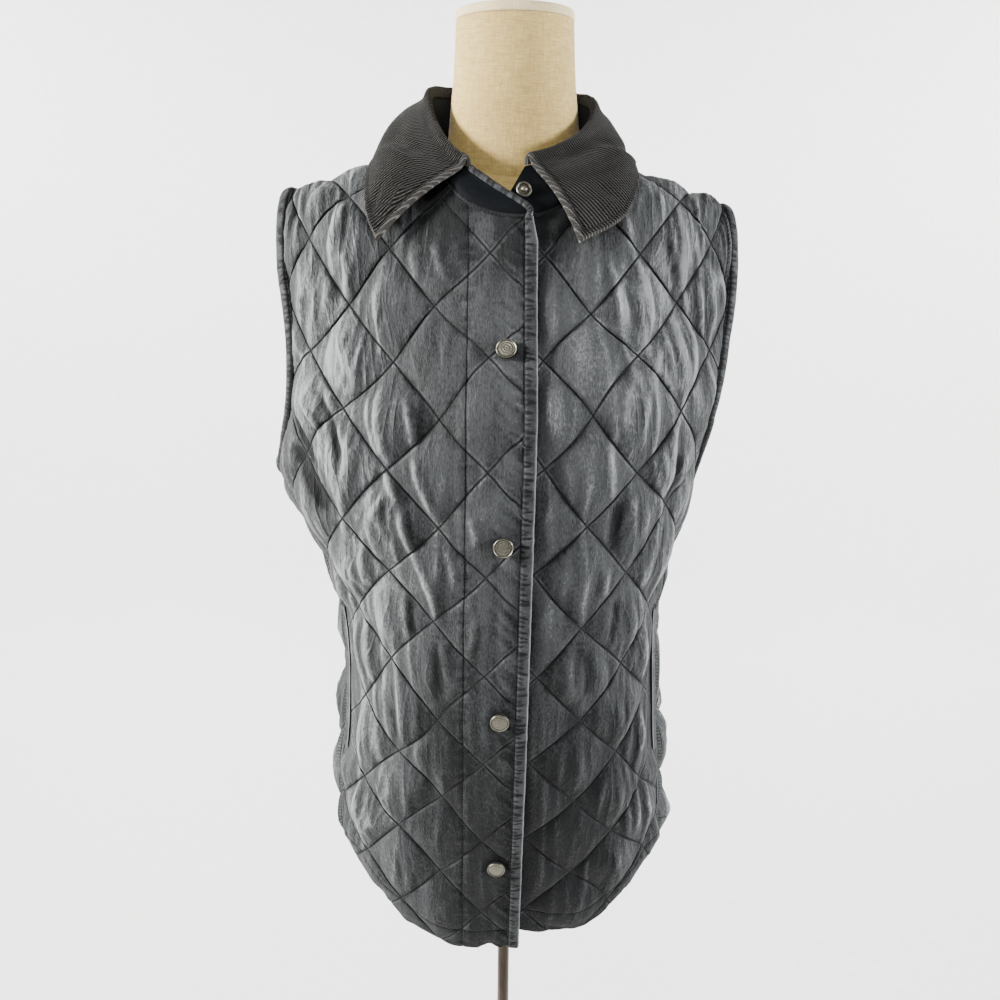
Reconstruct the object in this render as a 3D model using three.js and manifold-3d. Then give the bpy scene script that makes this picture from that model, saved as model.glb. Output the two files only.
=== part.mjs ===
// A quilted vest worn on a limbless dress form with a pole and a round base.
// Units are millimetres, +Z is up, the vest faces -Y, and the floor is at z = 0.
// "Left" is the side at -X, which is on the left when the vest is seen from the front.
import * as THREE from "three";
import { mergeVertices } from "three/addons/utils/BufferGeometryUtils.js";
import Module from "manifold-3d";

const wasm = await Module();
wasm.setup();

// Levels of the garment above the floor
const HEM_Z = 720;
const CHEST_Z = 1230;
const NECK_POINT_X = 62;
const NECK_POINT_Z = 1445;
const RIDGE_Y = 5;
const RIDGE_SLOPE = { left: 0.24, right: 0.345 };
const NECK_RISE = 0.15;

// The cloth
const WALL = 2;
const PILLOW = 3.5;
const DIAMOND = { width: 80, height: 88 };
const CELLS = 4;
const LONGEST_EDGE = 30.5;
const SHOULDER = { from: 600, deep: 40, edge: 13, gap: 0.4 };
const SEAM_GAP = 0.4;
const SEAM_TURN = 70;
const PLAN_POWER = 0.8;
const FRONT_LEAN = { bottom: -3, top: 3 };

// The front closing: the left front lies over the right one
const PLACKET = { edge: 7, stitch: -37, blend: -75, lift: 3.2, relief: 0.45 };
const CENTRE_BOW = 0.5;
const OFF_CENTRE = 0.7;
const UNDERLAP = { edge: -30, flat: 14, full: 34, shorter: 25 };
const BINDING = { gap: 0.5, width: 8, low: -0.5, high: 6 };
const PLACKET_BINDING = { gap: 0.4, width: 8.7, low: 2.6, high: 8 };
const SNAP = { across: -6, radius: 8.3, height: 3.2, rim: 1.1, levels: [821.5, 987, 1143.5, 1292] };
const POCKET = { bottom: 907, top: 1055, width: 12, low: 2.3, high: 5, inset: 1.5 };

// Neckline: how far up the chest the centre of each side reaches, 1 at the shoulder ridge
const NECKLINE = { front: 0.73, back: 0.953 };

// Inside of the cloth from hem to chest: half-widths and depths at each height
const BODY = [
  { z: 690, left: 160, right: 154, front: 93, back: 107 },
  { z: 720, left: 162, right: 156, front: 97, back: 108 },
  { z: 787, left: 164, right: 158.5, front: 106, back: 110 },
  { z: 825, left: 166.5, right: 156, front: 111.5, back: 108 },
  { z: 881, left: 165.5, right: 153, front: 122, back: 100 },
  { z: 927, left: 159, right: 147.5, front: 130, back: 92 },
  { z: 971, left: 155.5, right: 144, front: 137, back: 87 },
  { z: 1014, left: 154.5, right: 141, front: 141, back: 87 },
  { z: 1056, left: 158, right: 140, front: 143.5, back: 91 },
  { z: 1097, left: 170, right: 146, front: 144.5, back: 96 },
  { z: 1137, left: 190, right: 160, front: 145, back: 100 },
  { z: 1177, left: 208, right: 167, front: 145.5, back: 103 },
  { z: 1204, left: 207, right: 176, front: 146, back: 104 },
  { z: 1230, left: 204, right: 188, front: 146, back: 105 },
];

// Inside of the cloth from the chest (rise 0) to the shoulder ridge (rise 1)
const CHEST = [
  { rise: 0, left: 204, right: 188, front: 146, back: 105 },
  { rise: 0.1, left: 204, right: 193, front: 144, back: 107 },
  { rise: 0.2, left: 206, right: 198, front: 134, back: 106 },
  { rise: 0.394, left: 211, right: 205, front: 107, back: 100 },
  { rise: 0.57, left: 218, right: 212, front: 94, back: 92 },
  { rise: 0.784, left: 221, right: 214, front: 82, back: 80 },
  { rise: 0.92, left: 222, right: 215, front: 72, back: 68 },
  { rise: 1, left: 222, right: 215, front: 64, back: 60 },
];

// Cut edge of each armhole: half-widths above the chest, heights round the underarm
const ARMHOLE_SIDE = [
  { z: 1230, left: 187, right: 164 },
  { z: 1255, left: 182.5, right: 168 },
  { z: 1285, left: 181.5, right: 174 },
  { z: 1325, left: 185, right: 179.5 },
  { z: 1360, left: 189, right: 181 },
];
const ARMHOLE_TIP = { left: 190, right: 181 };
const ARMHOLE_UNDER = [
  { turn: 70, left: 1186, right: 1188 },
  { turn: 80, left: 1173, right: 1166 },
  { turn: 90, left: 1167, right: 1155 },
  { turn: 100, left: 1170, right: 1159 },
  { turn: 112, left: 1188, right: 1180 },
];

// Shirt-tail hem: height over the hem line, by the share of the way from the centre to the side seam
const HEM_CURVE = [
  { share: 0, front: 0, back: -13 },
  { share: 0.3, front: 0, back: -13 },
  { share: 0.46, front: 8, back: -11 },
  { share: 0.64, front: 31, back: 6 },
  { share: 0.74, front: 48, back: 25 },
  { share: 0.82, front: 60.5, back: 46 },
  { share: 0.93, front: 71, back: 68 },
  { share: 1, front: 77, back: 77 },
];

// Collar: top of the stand, then the free edge of the fall, for stations from the left front round the back
const COLLAR = [
  { foldX: -34, foldY: -66, foldZ: 1440, edgeX: -107, edgeY: -92, edgeZ: 1376, bow: 5 },
  { foldX: -47, foldY: -57, foldZ: 1449, edgeX: -117, edgeY: -76, edgeZ: 1398, bow: 7 },
  { foldX: -61, foldY: -38, foldZ: 1468, edgeX: -120, edgeY: -45, edgeZ: 1424, bow: 8 },
  { foldX: -69, foldY: -3, foldZ: 1497, edgeX: -115, edgeY: 4, edgeZ: 1441, bow: 10 },
  { foldX: -53, foldY: 44, foldZ: 1504, edgeX: -86, edgeY: 66, edgeZ: 1434, bow: 10 },
  { foldX: 0, foldY: 63, foldZ: 1505, edgeX: 0, edgeY: 98, edgeZ: 1428, bow: 9 },
  { foldX: 52, foldY: 44, foldZ: 1501, edgeX: 80, edgeY: 66, edgeZ: 1434, bow: 9 },
  { foldX: 67, foldY: -3, foldZ: 1489, edgeX: 93, edgeY: 4, edgeZ: 1444, bow: 6 },
  { foldX: 57, foldY: -38, foldZ: 1466, edgeX: 103, edgeY: -43, edgeZ: 1426, bow: 7 },
  { foldX: 33, foldY: -57, foldZ: 1449, edgeX: 89, edgeY: -78, edgeZ: 1396, bow: 7 },
  { foldX: 9.5, foldY: -66, foldZ: 1442, edgeX: 53, edgeY: -94, edgeZ: 1376, bow: 5 },
];
const COLLAR_STEPS = 4;
const COLLAR_WALL = 3;
const FOLD = { drop: 8, out: 8, gap: 0.95 };
const STAND = { wall: 2.6, gap: 0.7, depth: 1.5, rise: 6, leftEnd: 10, rightEnd: 12 };
const STUD = { share: 0.972, up: 0.4, gap: 0.8, radius: 6.4, height: 2.2, rim: 1.3 };

// The dress form, its neck and its stand
const FORM_BODY = [
  { z: 770, left: 134, right: 134, front: 82, back: 88 },
  { z: 800, left: 140, right: 140, front: 88, back: 94 },
  { z: 860, left: 138, right: 138, front: 92, back: 90 },
  { z: 930, left: 126, right: 126, front: 92, back: 76 },
  { z: 990, left: 119, right: 119, front: 92, back: 70 },
  { z: 1060, left: 126, right: 126, front: 104, back: 76 },
  { z: 1130, left: 142, right: 142, front: 122, back: 88 },
  { z: 1180, left: 150, right: 150, front: 128, back: 93 },
  { z: 1230, left: 157, right: 157, front: 124, back: 96 },
];
const FORM_CHEST = [
  { rise: 0, left: 157, right: 157, front: 124, back: 96 },
  { rise: 0.2, left: 164, right: 164, front: 114, back: 97 },
  { rise: 0.394, left: 170, right: 170, front: 95, back: 91 },
  { rise: 0.6, left: 174, right: 174, front: 83, back: 82 },
  { rise: 0.784, left: 177, right: 177, front: 75, back: 72 },
  { rise: 0.92, left: 179, right: 179, front: 66, back: 61 },
  { rise: 1, left: 180, right: 180, front: 57, back: 53 },
];
const FORM_DROP = 0.6;
const FORM_SIDES = 36;
const FORM_LEVELS = [770, 785, 800, 860, 930, 990, 1060, 1130, 1180];
const NECK_SIDES = 28;
const FORM_RISES = [0.2, 0.394, 0.6, 0.784, 0.86, 0.92, 0.96, 0.985, 1];
const NECK = [
  { z: 1405, across: 59, deep: 50, x: 1.5, y: -6 },
  { z: 1445, across: 57, deep: 47, x: 1.5, y: -6 },
  { z: 1477, across: 54, deep: 46.5, x: 1, y: -6 },
  { z: 1505, across: 51, deep: 46, x: 1, y: -7 },
  { z: 1549, across: 48.5, deep: 45, x: 1, y: -8 },
];
const CAP = { height: 8, gap: 0.3 };
const POLE = { radius: 6.25, sides: 24 };
const BASE = { radius: 170, height: 8, bevel: 2, boss: 22, bossTop: 24 };

// Colours and finish of each material
const MATERIALS = {
  quilted_shell: { color: 0x4a4c4d, roughness: 0.75, metalness: 0 },
  edge_binding: { color: 0x54585b, roughness: 0.8, metalness: 0 },
  corduroy: { color: 0x24221f, roughness: 0.95, metalness: 0 },
  stand_cloth: { color: 0x15191c, roughness: 0.85, metalness: 0 },
  snap_metal: { color: 0x9b9890, roughness: 0.35, metalness: 1 },
  form_linen: { color: 0xcbb994, roughness: 0.9, metalness: 0 },
  form_cap: { color: 0xe2d8b4, roughness: 0.8, metalness: 0 },
  pole_metal: { color: 0x3a3226, roughness: 0.45, metalness: 0.8 },
  base_metal: { color: 0x2b2824, roughness: 0.6, metalness: 0.6 },
};

const RADIANS = Math.PI / 180;
const clamp = (value, low, high) => Math.min(high, Math.max(low, value));
const mix = (a, b, share) => a + (b - a) * share;
function smooth(value, low, high) {
  const share = clamp((value - low) / (high - low), 0, 1);
  return share * share * (3 - 2 * share);
}

// A table's columns at a place between its rows, on a smooth curve through them
function rowAt(table, key, place) {
  const last = table.length - 1;
  const at = clamp(place, table[0][key], table[last][key]);
  let i = 0;
  while (i < last - 1 && table[i + 1][key] < at) i += 1;
  const step = table[i + 1][key] - table[i][key];
  const share = (at - table[i][key]) / step;
  const slope = (k, column) => {
    const before = table[Math.max(0, k - 1)];
    const after = table[Math.min(last, k + 1)];
    return (after[column] - before[column]) / (after[key] - before[key]);
  };
  const found = {};
  for (const column of Object.keys(table[0])) {
    const a = table[i][column];
    const b = table[i + 1][column];
    const bend = share * (1 - share) * step;
    const easing = share * share * (3 - 2 * share);
    found[column] =
      mix(a, b, easing) +
      bend * ((1 - share) * slope(i, column) - share * slope(i + 1, column));
  }
  return found;
}

// Height of the shoulder ridge over the floor at a distance from the centre
function ridgeZ(x, side) {
  if (x > NECK_POINT_X) return NECK_POINT_Z - RIDGE_SLOPE[side] * (x - NECK_POINT_X);
  return NECK_POINT_Z + NECK_RISE * (NECK_POINT_X - (x * x) / NECK_POINT_X);
}

// A body surface with a level part, made of rings, and a chest part, made of upright columns.
// Each has two faces, front and back, and each face two sides, left and right.
class BodySurface {
  constructor(body, chest, drop) {
    this.body = body;
    this.chest = chest;
    this.drop = drop;
    this.rings = new Map();
    this.columns = new Map();
  }

  // A point of the ring at height z, at a turn of 0 at the centre front to 180 at the centre back
  ringPoint(z, side, turn) {
    const row = rowAt(this.body, "z", z);
    const across = row[side] * Math.pow(Math.sin(turn * RADIANS), PLAN_POWER);
    const depth = turn < 90 ? row.front : row.back;
    const y = -depth * Math.cos(turn * RADIANS);
    return this.placed(across, y, z, side, row[side]);
  }

  // A point of the chest, rise 0 at the chest level to 1 at the shoulder ridge
  chestPoint(across, rise, side, face) {
    const row = rowAt(this.chest, "rise", rise);
    const round = Math.sqrt(Math.max(0, 1 - Math.pow(rise, 10)));
    const share = Math.pow(Math.min(1, across / row[side]), 2 / PLAN_POWER);
    const depth = row[face] * round * Math.sqrt(1 - share);
    const top = ridgeZ(across, side) - this.drop;
    const y = RIDGE_Y * rise + (face === "front" ? -depth : depth);
    return this.placed(across, y, mix(CHEST_Z, top, rise), side, row[side]);
  }

  placed(across, y, z, side, half) {
    const risen = clamp((z - HEM_Z) / (CHEST_Z - HEM_Z), 0, 1);
    const lean = mix(FRONT_LEAN.bottom, FRONT_LEAN.top, risen);
    const sign = side === "left" ? -1 : 1;
    return new THREE.Vector3(sign * across + lean * (1 - across / half), y, z);
  }

  // Lengths along a ring or a column, measured once and kept
  measured(store, name, count, pointAt) {
    if (!store.has(name)) {
      const lengths = [0];
      let before = pointAt(0);
      for (let i = 1; i <= count; i += 1) {
        const point = pointAt(i / count);
        lengths.push(lengths[i - 1] + point.distanceTo(before));
        before = point;
      }
      store.set(name, lengths);
    }
    return store.get(name);
  }

  ringLengths(z, side) {
    const point = (share) => this.ringPoint(z, side, share * 180);
    return this.measured(this.rings, side + z.toFixed(3), 90, point);
  }

  columnLengths(across, side, face) {
    const point = (share) => this.chestPoint(across, riseOf(share), side, face);
    return this.measured(this.columns, side + face + across.toFixed(3), 60, point);
  }

  halfRing(z, side) {
    return this.ringLengths(z, side).at(-1);
  }

  lengthAtTurn(z, side, turn) {
    return lengthAt(this.ringLengths(z, side), turn / 180);
  }

  turnAtLength(z, side, length) {
    return 180 * shareAt(this.ringLengths(z, side), length);
  }

  turnAtWidth(side, across) {
    const half = rowAt(this.chest, "rise", 0)[side];
    return Math.asin(Math.pow(Math.min(1, across / half), 1 / PLAN_POWER)) / RADIANS;
  }

  widthAtTurn(side, turn) {
    return rowAt(this.chest, "rise", 0)[side] * Math.pow(Math.sin(turn * RADIANS), PLAN_POWER);
  }

  // A point of the cloth from the fabric's own measures: u from the centre, v up from the hem line
  clothPoint(face, u, v) {
    const side = face === "front" === u < 0 ? "left" : "right";
    const z = Math.min(HEM_Z + v, CHEST_Z);
    const from = face === "front" ? Math.abs(u) : this.halfRing(z, side) - Math.abs(u);
    const turn = this.turnAtLength(z, side, from);
    if (HEM_Z + v <= CHEST_Z) return this.ringPoint(z, side, turn);
    const across = this.widthAtTurn(side, turn);
    const lengths = this.columnLengths(across, side, face);
    const share = shareAt(lengths, HEM_Z + v - CHEST_Z);
    return this.chestPoint(across, riseOf(share), side, face);
  }

  // The cloth's outward direction at the same measures
  clothNormal(face, u, v) {
    const step = 0.6;
    const along = this.clothPoint(face, u + step, v).sub(this.clothPoint(face, u - step, v));
    const up = this.clothPoint(face, u, v).sub(this.clothPoint(face, u, v - 2 * step));
    return along.cross(up).normalize();
  }

  // Fabric measures of a chest point given by its distance from the centre and its rise
  measuresAt(face, side, across, rise) {
    const turn = this.turnAtWidth(side, across);
    const ring = this.lengthAtTurn(CHEST_Z, side, face === "front" ? turn : 180 - turn);
    const u = face === "front" ? ring : this.halfRing(CHEST_Z, side) - ring;
    const lengths = this.columnLengths(across, side, face);
    const v = CHEST_Z - HEM_Z + lengthAt(lengths, shareOfRise(rise));
    return [u, v];
  }
}

// Samples of a column stand closer together near the ridge, where it bends most
const riseOf = (share) => 1 - (1 - share) * (1 - share);
const shareOfRise = (rise) => 1 - Math.sqrt(1 - rise);

function lengthAt(lengths, share) {
  const place = clamp(share, 0, 1) * (lengths.length - 1);
  const i = Math.min(Math.floor(place), lengths.length - 2);
  return mix(lengths[i], lengths[i + 1], place - i);
}

function shareAt(lengths, length) {
  let i = 0;
  while (i < lengths.length - 2 && lengths[i + 1] < length) i += 1;
  const step = lengths[i + 1] - lengths[i];
  return clamp((i + (length - lengths[i]) / step) / (lengths.length - 1), 0, 1);
}

const cloth = new BodySurface(BODY, CHEST, 0);
const figure = new BodySurface(FORM_BODY, FORM_CHEST, FORM_DROP);
const signOf = (face, side) => ((face === "front") === (side === "left") ? -1 : 1);

// Solids and geometries
function geometryOf(points, faces) {
  const geometry = new THREE.BufferGeometry();
  const numbers = points.flatMap((point) => point.toArray());
  geometry.setAttribute("position", new THREE.Float32BufferAttribute(numbers, 3));
  geometry.setIndex(faces.flat());
  return geometry;
}

function solidOf(geometry) {
  const bare = new THREE.BufferGeometry();
  bare.setAttribute("position", geometry.getAttribute("position"));
  bare.setIndex(geometry.getIndex());
  const merged = mergeVertices(bare, 1e-3);
  const vertProperties = new Float32Array(merged.getAttribute("position").array);
  const triVerts = new Uint32Array(merged.getIndex().array);
  return new wasm.Manifold(new wasm.Mesh({ numProp: 3, vertProperties, triVerts }));
}

function partsOf(solid) {
  const { vertProperties, triVerts } = solid.getMesh();
  const points = [];
  for (let i = 0; i < vertProperties.length; i += 3) {
    points.push(new THREE.Vector3().fromArray(vertProperties, i));
  }
  const triangles = [];
  for (let i = 0; i < triVerts.length; i += 3) triangles.push(Array.from(triVerts.slice(i, i + 3)));
  return { points, triangles };
}

function meshOf(solid) {
  const { points, triangles } = partsOf(solid);
  return geometryOf(points, triangles);
}

// A grid of quads between rows of points, closed round when the rows are loops
function gridFaces(rows, count, start, loop, flip) {
  const faces = [];
  const last = loop ? count : count - 1;
  for (let i = 0; i < rows - 1; i += 1) {
    for (let k = 0; k < last; k += 1) {
      const a = start + i * count + k;
      const b = start + i * count + ((k + 1) % count);
      const c = a + count;
      const d = b + count;
      faces.push(flip ? [a, c, b, b, c, d] : [a, b, c, b, d, c]);
    }
  }
  return faces;
}

// A wall from two grids of points of one size: outer and inner stations, each a line of points
function wallGeometry(outer, inner, loop) {
  const count = outer[0].length;
  const stations = loop ? outer.length + 1 : outer.length;
  const ring = (i) => {
    const k = i % outer.length;
    return [...outer[k], ...[...inner[k]].reverse()];
  };
  const points = [];
  for (let i = 0; i < stations; i += 1) points.push(...ring(i));
  const faces = gridFaces(stations, 2 * count, 0, true, false);
  if (!loop) {
    const end = (stations - 1) * 2 * count;
    for (let k = 0; k < count - 1; k += 1) {
      const a = k;
      const b = 2 * count - 1 - k;
      faces.push([a, b, a + 1, b, b - 1, a + 1]);
      faces.push([end + a, end + a + 1, end + b, end + b, end + a + 1, end + b - 1]);
    }
  }
  return facingOut(geometryOf(points, faces));
}

// The same geometry with its faces turned outwards
function facingOut(geometry) {
  const at = geometry.getAttribute("position");
  const index = geometry.getIndex().array;
  const corner = (i) => new THREE.Vector3().fromBufferAttribute(at, index[i]);
  let volume = 0;
  for (let i = 0; i < index.length; i += 3) {
    volume += corner(i).dot(corner(i + 1).cross(corner(i + 2)));
  }
  if (volume < 0) geometry.setIndex(Array.from(index).reverse());
  return geometry;
}

// The quilted cloth, laid flat: its lattice and the height of the padding between stitch lines
const CELL = { u: DIAMOND.width / CELLS, v: DIAMOND.height / CELLS };
const LATTICE = { u: 20, v: 44 };

function pillow(across, up) {
  const phase = (count) => Math.sin((Math.PI * (((count % CELLS) + CELLS) % CELLS)) / CELLS);
  return PILLOW * phase(up - across) * phase(up + across);
}

// A flat quilted slab over the whole panel, with its stitch lines along the cells' diagonals
function quiltedSlab(panel, reach) {
  const points = [];
  const low = [Math.floor(reach.u0 / CELL.u) - 1, Math.floor(reach.v0 / CELL.v) - 1];
  const high = [Math.ceil(reach.u1 / CELL.u) + 1, Math.ceil(reach.v1 / CELL.v) + 1];
  const count = high[0] - low[0] + 1;
  const rows = high[1] - low[1] + 1;
  for (const layer of [0, 1]) {
    for (let j = low[1]; j <= high[1]; j += 1) {
      for (let k = low[0]; k <= high[0]; k += 1) {
        const u = panel.mirror * (LATTICE.u + k * CELL.u);
        const v = LATTICE.v + j * CELL.v;
        const padding = pillow(k, j) * panel.relief(u, v);
        points.push(new THREE.Vector3(u, v, panel.lift(u) + layer * (WALL + padding)));
      }
    }
  }
  const faces = [];
  const turned = panel.mirror < 0;
  const triangle = (a, b, c, flip) => faces.push(flip ? [a, c, b] : [a, b, c]);
  const quad = (a, b, c, d, rising, flip) => {
    triangle(a, b, rising ? d : c, flip);
    triangle(rising ? a : b, d, c, flip);
  };
  for (let j = 0; j < rows - 1; j += 1) {
    for (let k = 0; k < count - 1; k += 1) {
      const a = j * count + k;
      const rising = (j + low[1] - k - low[0]) % 2 === 0;
      quad(a, a + 1, a + count, a + count + 1, rising, !turned);
      const top = a + rows * count;
      quad(top, top + 1, top + count, top + count + 1, rising, turned);
    }
  }
  const wall = (a, b) => quad(a, b, a + rows * count, b + rows * count, true, turned);
  for (let k = 0; k < count - 1; k += 1) {
    wall(k, k + 1);
    wall((rows - 1) * count + k + 1, (rows - 1) * count + k);
  }
  for (let j = 0; j < rows - 1; j += 1) {
    wall((j + 1) * count, j * count);
    wall(j * count + count - 1, (j + 1) * count + count - 1);
  }
  return solidOf(geometryOf(points, faces));
}

function prism(outline) {
  const shape = new THREE.Shape(outline.map(([u, v]) => new THREE.Vector2(u, v)));
  const depth = 40;
  const geometry = new THREE.ExtrudeGeometry(shape, { depth, bevelEnabled: false });
  geometry.translate(0, 0, -depth / 4);
  return solidOf(geometry);
}

// Splits the longest edge of each triangle, on both sides of it, until none is too long
function splitLongEdges(points, triangles, excess) {
  const nameOf = (a, b) => Math.min(a, b) + "," + Math.max(a, b);
  let faces = triangles;
  for (;;) {
    const middles = new Map();
    for (const corners of faces) {
      const edges = corners.map((corner, i) => [corner, corners[(i + 1) % 3]]);
      const over = edges.map(([a, b]) => excess(points[a], points[b]));
      const [a, b] = edges[over.indexOf(Math.max(...over))];
      if (Math.max(...over) <= 0 || middles.has(nameOf(a, b))) continue;
      middles.set(nameOf(a, b), points.push(points[a].clone().lerp(points[b], 0.5)) - 1);
    }
    if (middles.size === 0) return faces;
    faces = faces.flatMap((corners) => {
      const cutOf = (corner, i) => middles.get(nameOf(corner, corners[(i + 1) % 3])) ?? -1;
      return splitTriangle(corners, corners.map(cutOf));
    });
  }
}

// The pieces of a triangle whose edges are cut at the given points, -1 where an edge stays whole
function splitTriangle(corners, cuts) {
  const count = cuts.filter((cut) => cut >= 0).length;
  if (count === 0) return [corners];
  const first = count === 2 ? cuts.indexOf(-1) : cuts.findIndex((cut) => cut >= 0);
  const at = (i) => corners[(first + i) % 3];
  const cut = (i) => cuts[(first + i) % 3];
  if (count === 1) return [[at(0), cut(0), at(2)], [cut(0), at(1), at(2)]];
  if (count === 2) return [[at(0), at(1), cut(1)], [at(0), cut(1), cut(2)], [cut(1), at(2), cut(2)]];
  return [
    [at(0), cut(0), cut(2)],
    [cut(0), at(1), cut(1)],
    [cut(2), cut(1), at(2)],
    [cut(0), cut(1), cut(2)],
  ];
}

// A panel: the slab cut to its outline, then draped over the body surface
function panelGeometry(panel) {
  const us = panel.outline.map(([u]) => u);
  const vs = panel.outline.map(([, v]) => v);
  const across = us.map((u) => panel.mirror * u - LATTICE.u);
  const reach = {
    u0: Math.min(...across),
    u1: Math.max(...across),
    v0: Math.min(...vs) - LATTICE.v,
    v1: Math.max(...vs) - LATTICE.v,
  };
  const { points, triangles } = partsOf(quiltedSlab(panel, reach).intersect(prism(panel.outline)));
  const onShoulder = ({ x, y }) =>
    y > SHOULDER.from && Math.abs(cloth.clothPoint(panel.face, x, y).y - RIDGE_Y) < SHOULDER.deep;
  const faces = splitLongEdges(points, triangles, (a, b) => {
    const steep = Math.abs(a.y - b.y) > SHOULDER.edge && (onShoulder(a) || onShoulder(b));
    return Math.hypot(a.x - b.x, a.y - b.y) - (steep ? SHOULDER.edge : LONGEST_EDGE);
  });
  const draped = points.map(({ x, y, z }) => {
    const normal = cloth.clothNormal(panel.face, x, y);
    return cloth.clothPoint(panel.face, x, y).addScaledVector(normal, z);
  });
  return geometryOf(draped, faces);
}

// Edges of the panels, each a list of fabric measures [u, v]
function seamWidth(face, side, z) {
  const front = cloth.lengthAtTurn(z, side, SEAM_TURN);
  return (face === "front" ? front : cloth.halfRing(z, side) - front) - SEAM_GAP / 2;
}

function hemAt(face, side, u) {
  const share = Math.abs(u) / seamWidth(face, side, HEM_Z);
  return rowAt(HEM_CURVE, "share", share)[face];
}

function hemEdge(face, side, from, raised) {
  const steps = 16;
  const sign = signOf(face, side);
  const end = sign * seamWidth(face, side, HEM_Z + HEM_CURVE.at(-1)[face]);
  const edge = [];
  for (let i = 0; i <= steps; i += 1) {
    const u = mix(from, end, i / steps);
    edge.push([u, hemAt(face, side, u) + raised * (1 - i / steps)]);
  }
  return edge;
}

function seamEdge(face, side) {
  const steps = 20;
  const bottom = HEM_Z + HEM_CURVE.at(-1)[face];
  const top = ARMHOLE_UNDER[0][side];
  const edge = [];
  for (let i = 1; i < steps; i += 1) {
    const z = mix(bottom, top, i / steps);
    edge.push([signOf(face, side) * seamWidth(face, side, z), z - HEM_Z]);
  }
  return edge;
}

// Armhole edge of one panel, from the side seam to the shoulder tip
function armholeEdge(face, side) {
  const sign = signOf(face, side);
  const knots = [];
  const under = face === "front" ? ARMHOLE_UNDER.slice(0, 1) : ARMHOLE_UNDER;
  for (const row of under) {
    const z = row[side];
    const length = cloth.lengthAtTurn(z, side, row.turn);
    const u = face === "front" ? length : cloth.halfRing(z, side) - length;
    knots.push([row.turn === SEAM_TURN ? u - SEAM_GAP / 2 : u, z - HEM_Z]);
  }
  for (const row of ARMHOLE_SIDE) {
    const rise = (row.z - CHEST_Z) / (ridgeZ(row[side], side) - CHEST_Z);
    knots.push(cloth.measuresAt(face, side, row[side], rise));
  }
  const tip = cloth.measuresAt(face, side, ARMHOLE_TIP[side], 1);
  knots.push([tip[0], tip[1] - SHOULDER.gap]);
  const curve = new THREE.SplineCurve(knots.map(([u, v]) => new THREE.Vector2(sign * u, v)));
  return curve.getPoints(face === "front" ? 20 : 32).map(({ x, y }) => [x, y]);
}

// Neckline edge of one panel, from its neck point to the centre
function necklineMeasures(face, side, turn) {
  if (turn < 0) return necklineMeasures(face, side === "left" ? "right" : "left", -turn);
  const centre = NECKLINE[face];
  const across = NECK_POINT_X * Math.sin(turn);
  const [u, v] = cloth.measuresAt(face, side, across, 1 - (1 - centre) * Math.cos(turn));
  return [signOf(face, side) * u, v];
}

function shoulderAndNeckline(face, side) {
  const edge = [];
  const steps = 9;
  for (let i = 1; i <= steps; i += 1) {
    const across = mix(ARMHOLE_TIP[side], NECK_POINT_X, i / steps);
    const [u, v] = cloth.measuresAt(face, side, across, 1);
    edge.push([signOf(face, side) * u, v - SHOULDER.gap]);
  }
  const turns = 14;
  for (let i = 1; i <= turns; i += 1) {
    const turn = (Math.PI / 2) * (1 - i / turns) + OFF_CENTRE / NECK_POINT_X;
    edge.push(necklineMeasures(face, side, turn));
  }
  return edge;
}

// The centre edge of a front, a long shallow curve from the neckline down to the hem
function centreEdge(u, top, bottom) {
  const steps = 30;
  const edge = [];
  for (let i = 0; i < steps; i += 1) {
    const share = i / steps;
    edge.push([u + CENTRE_BOW * Math.sin(Math.PI * share), mix(top, bottom, share)]);
  }
  return edge;
}

function frontOutline(side, edge, raised) {
  const hem = hemEdge("front", side, edge, raised);
  const seam = seamEdge("front", side);
  const rest = [...armholeEdge("front", side), ...shoulderAndNeckline("front", side)];
  const top = necklineMeasures("front", side, 0)[1];
  return [...hem, ...seam, ...rest, ...centreEdge(edge, top, raised)];
}

function backOutline() {
  const half = (side) => [
    ...hemEdge("back", side, OFF_CENTRE * signOf("back", side), 0),
    ...seamEdge("back", side),
    ...armholeEdge("back", side),
    ...shoulderAndNeckline("back", side),
  ];
  return [...half("left"), ...half("right").reverse()];
}

// Padding is pressed flat under the pocket welts
function pocketRelief(side, u, v) {
  const z = HEM_Z + v;
  const near = z > POCKET.bottom - CELL.v && z < POCKET.top + CELL.v;
  const inner = seamWidth("front", side, z) - POCKET.width - 1.2 * CELL.u;
  return near && Math.abs(u) > inner ? 0 : 1;
}

const PANELS = {
  front_left: {
    face: "front",
    mirror: -1,
    outline: frontOutline("left", PLACKET.edge, 0),
    lift: (u) => PLACKET.lift * smooth(u, PLACKET.blend, PLACKET.stitch),
    relief: (u, v) =>
      mix(1, PLACKET.relief, smooth(u, PLACKET.blend, PLACKET.stitch)) *
      pocketRelief("left", u, v),
  },
  front_right: {
    face: "front",
    mirror: 1,
    outline: frontOutline("right", UNDERLAP.edge, UNDERLAP.shorter),
    lift: () => 0,
    relief: (u, v) =>
      smooth(u, UNDERLAP.flat, UNDERLAP.full) * pocketRelief("right", u, v),
  },
  back: {
    face: "back",
    mirror: 1,
    outline: backOutline(),
    lift: () => 0,
    relief: () => 1,
  },
};

// A rounded strip beside an edge: stations hold a point, the outward direction and the normal
function stripGeometry(stations, size, loop) {
  const middle = (size.low + size.high) / 2;
  const half = (size.high - size.low) / 2;
  const line = (sign) =>
    stations.map(({ point, out, normal }) =>
      [0, 0.35, 0.8, 1].map((share) => {
        const round = half * Math.sqrt(1 - Math.pow(share, 4) * 0.85);
        return point
          .clone()
          .addScaledVector(out, size.gap + share * size.width)
          .addScaledVector(normal, middle + sign * round);
      }),
    );
  return wallGeometry(line(1), line(-1), loop);
}

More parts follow.
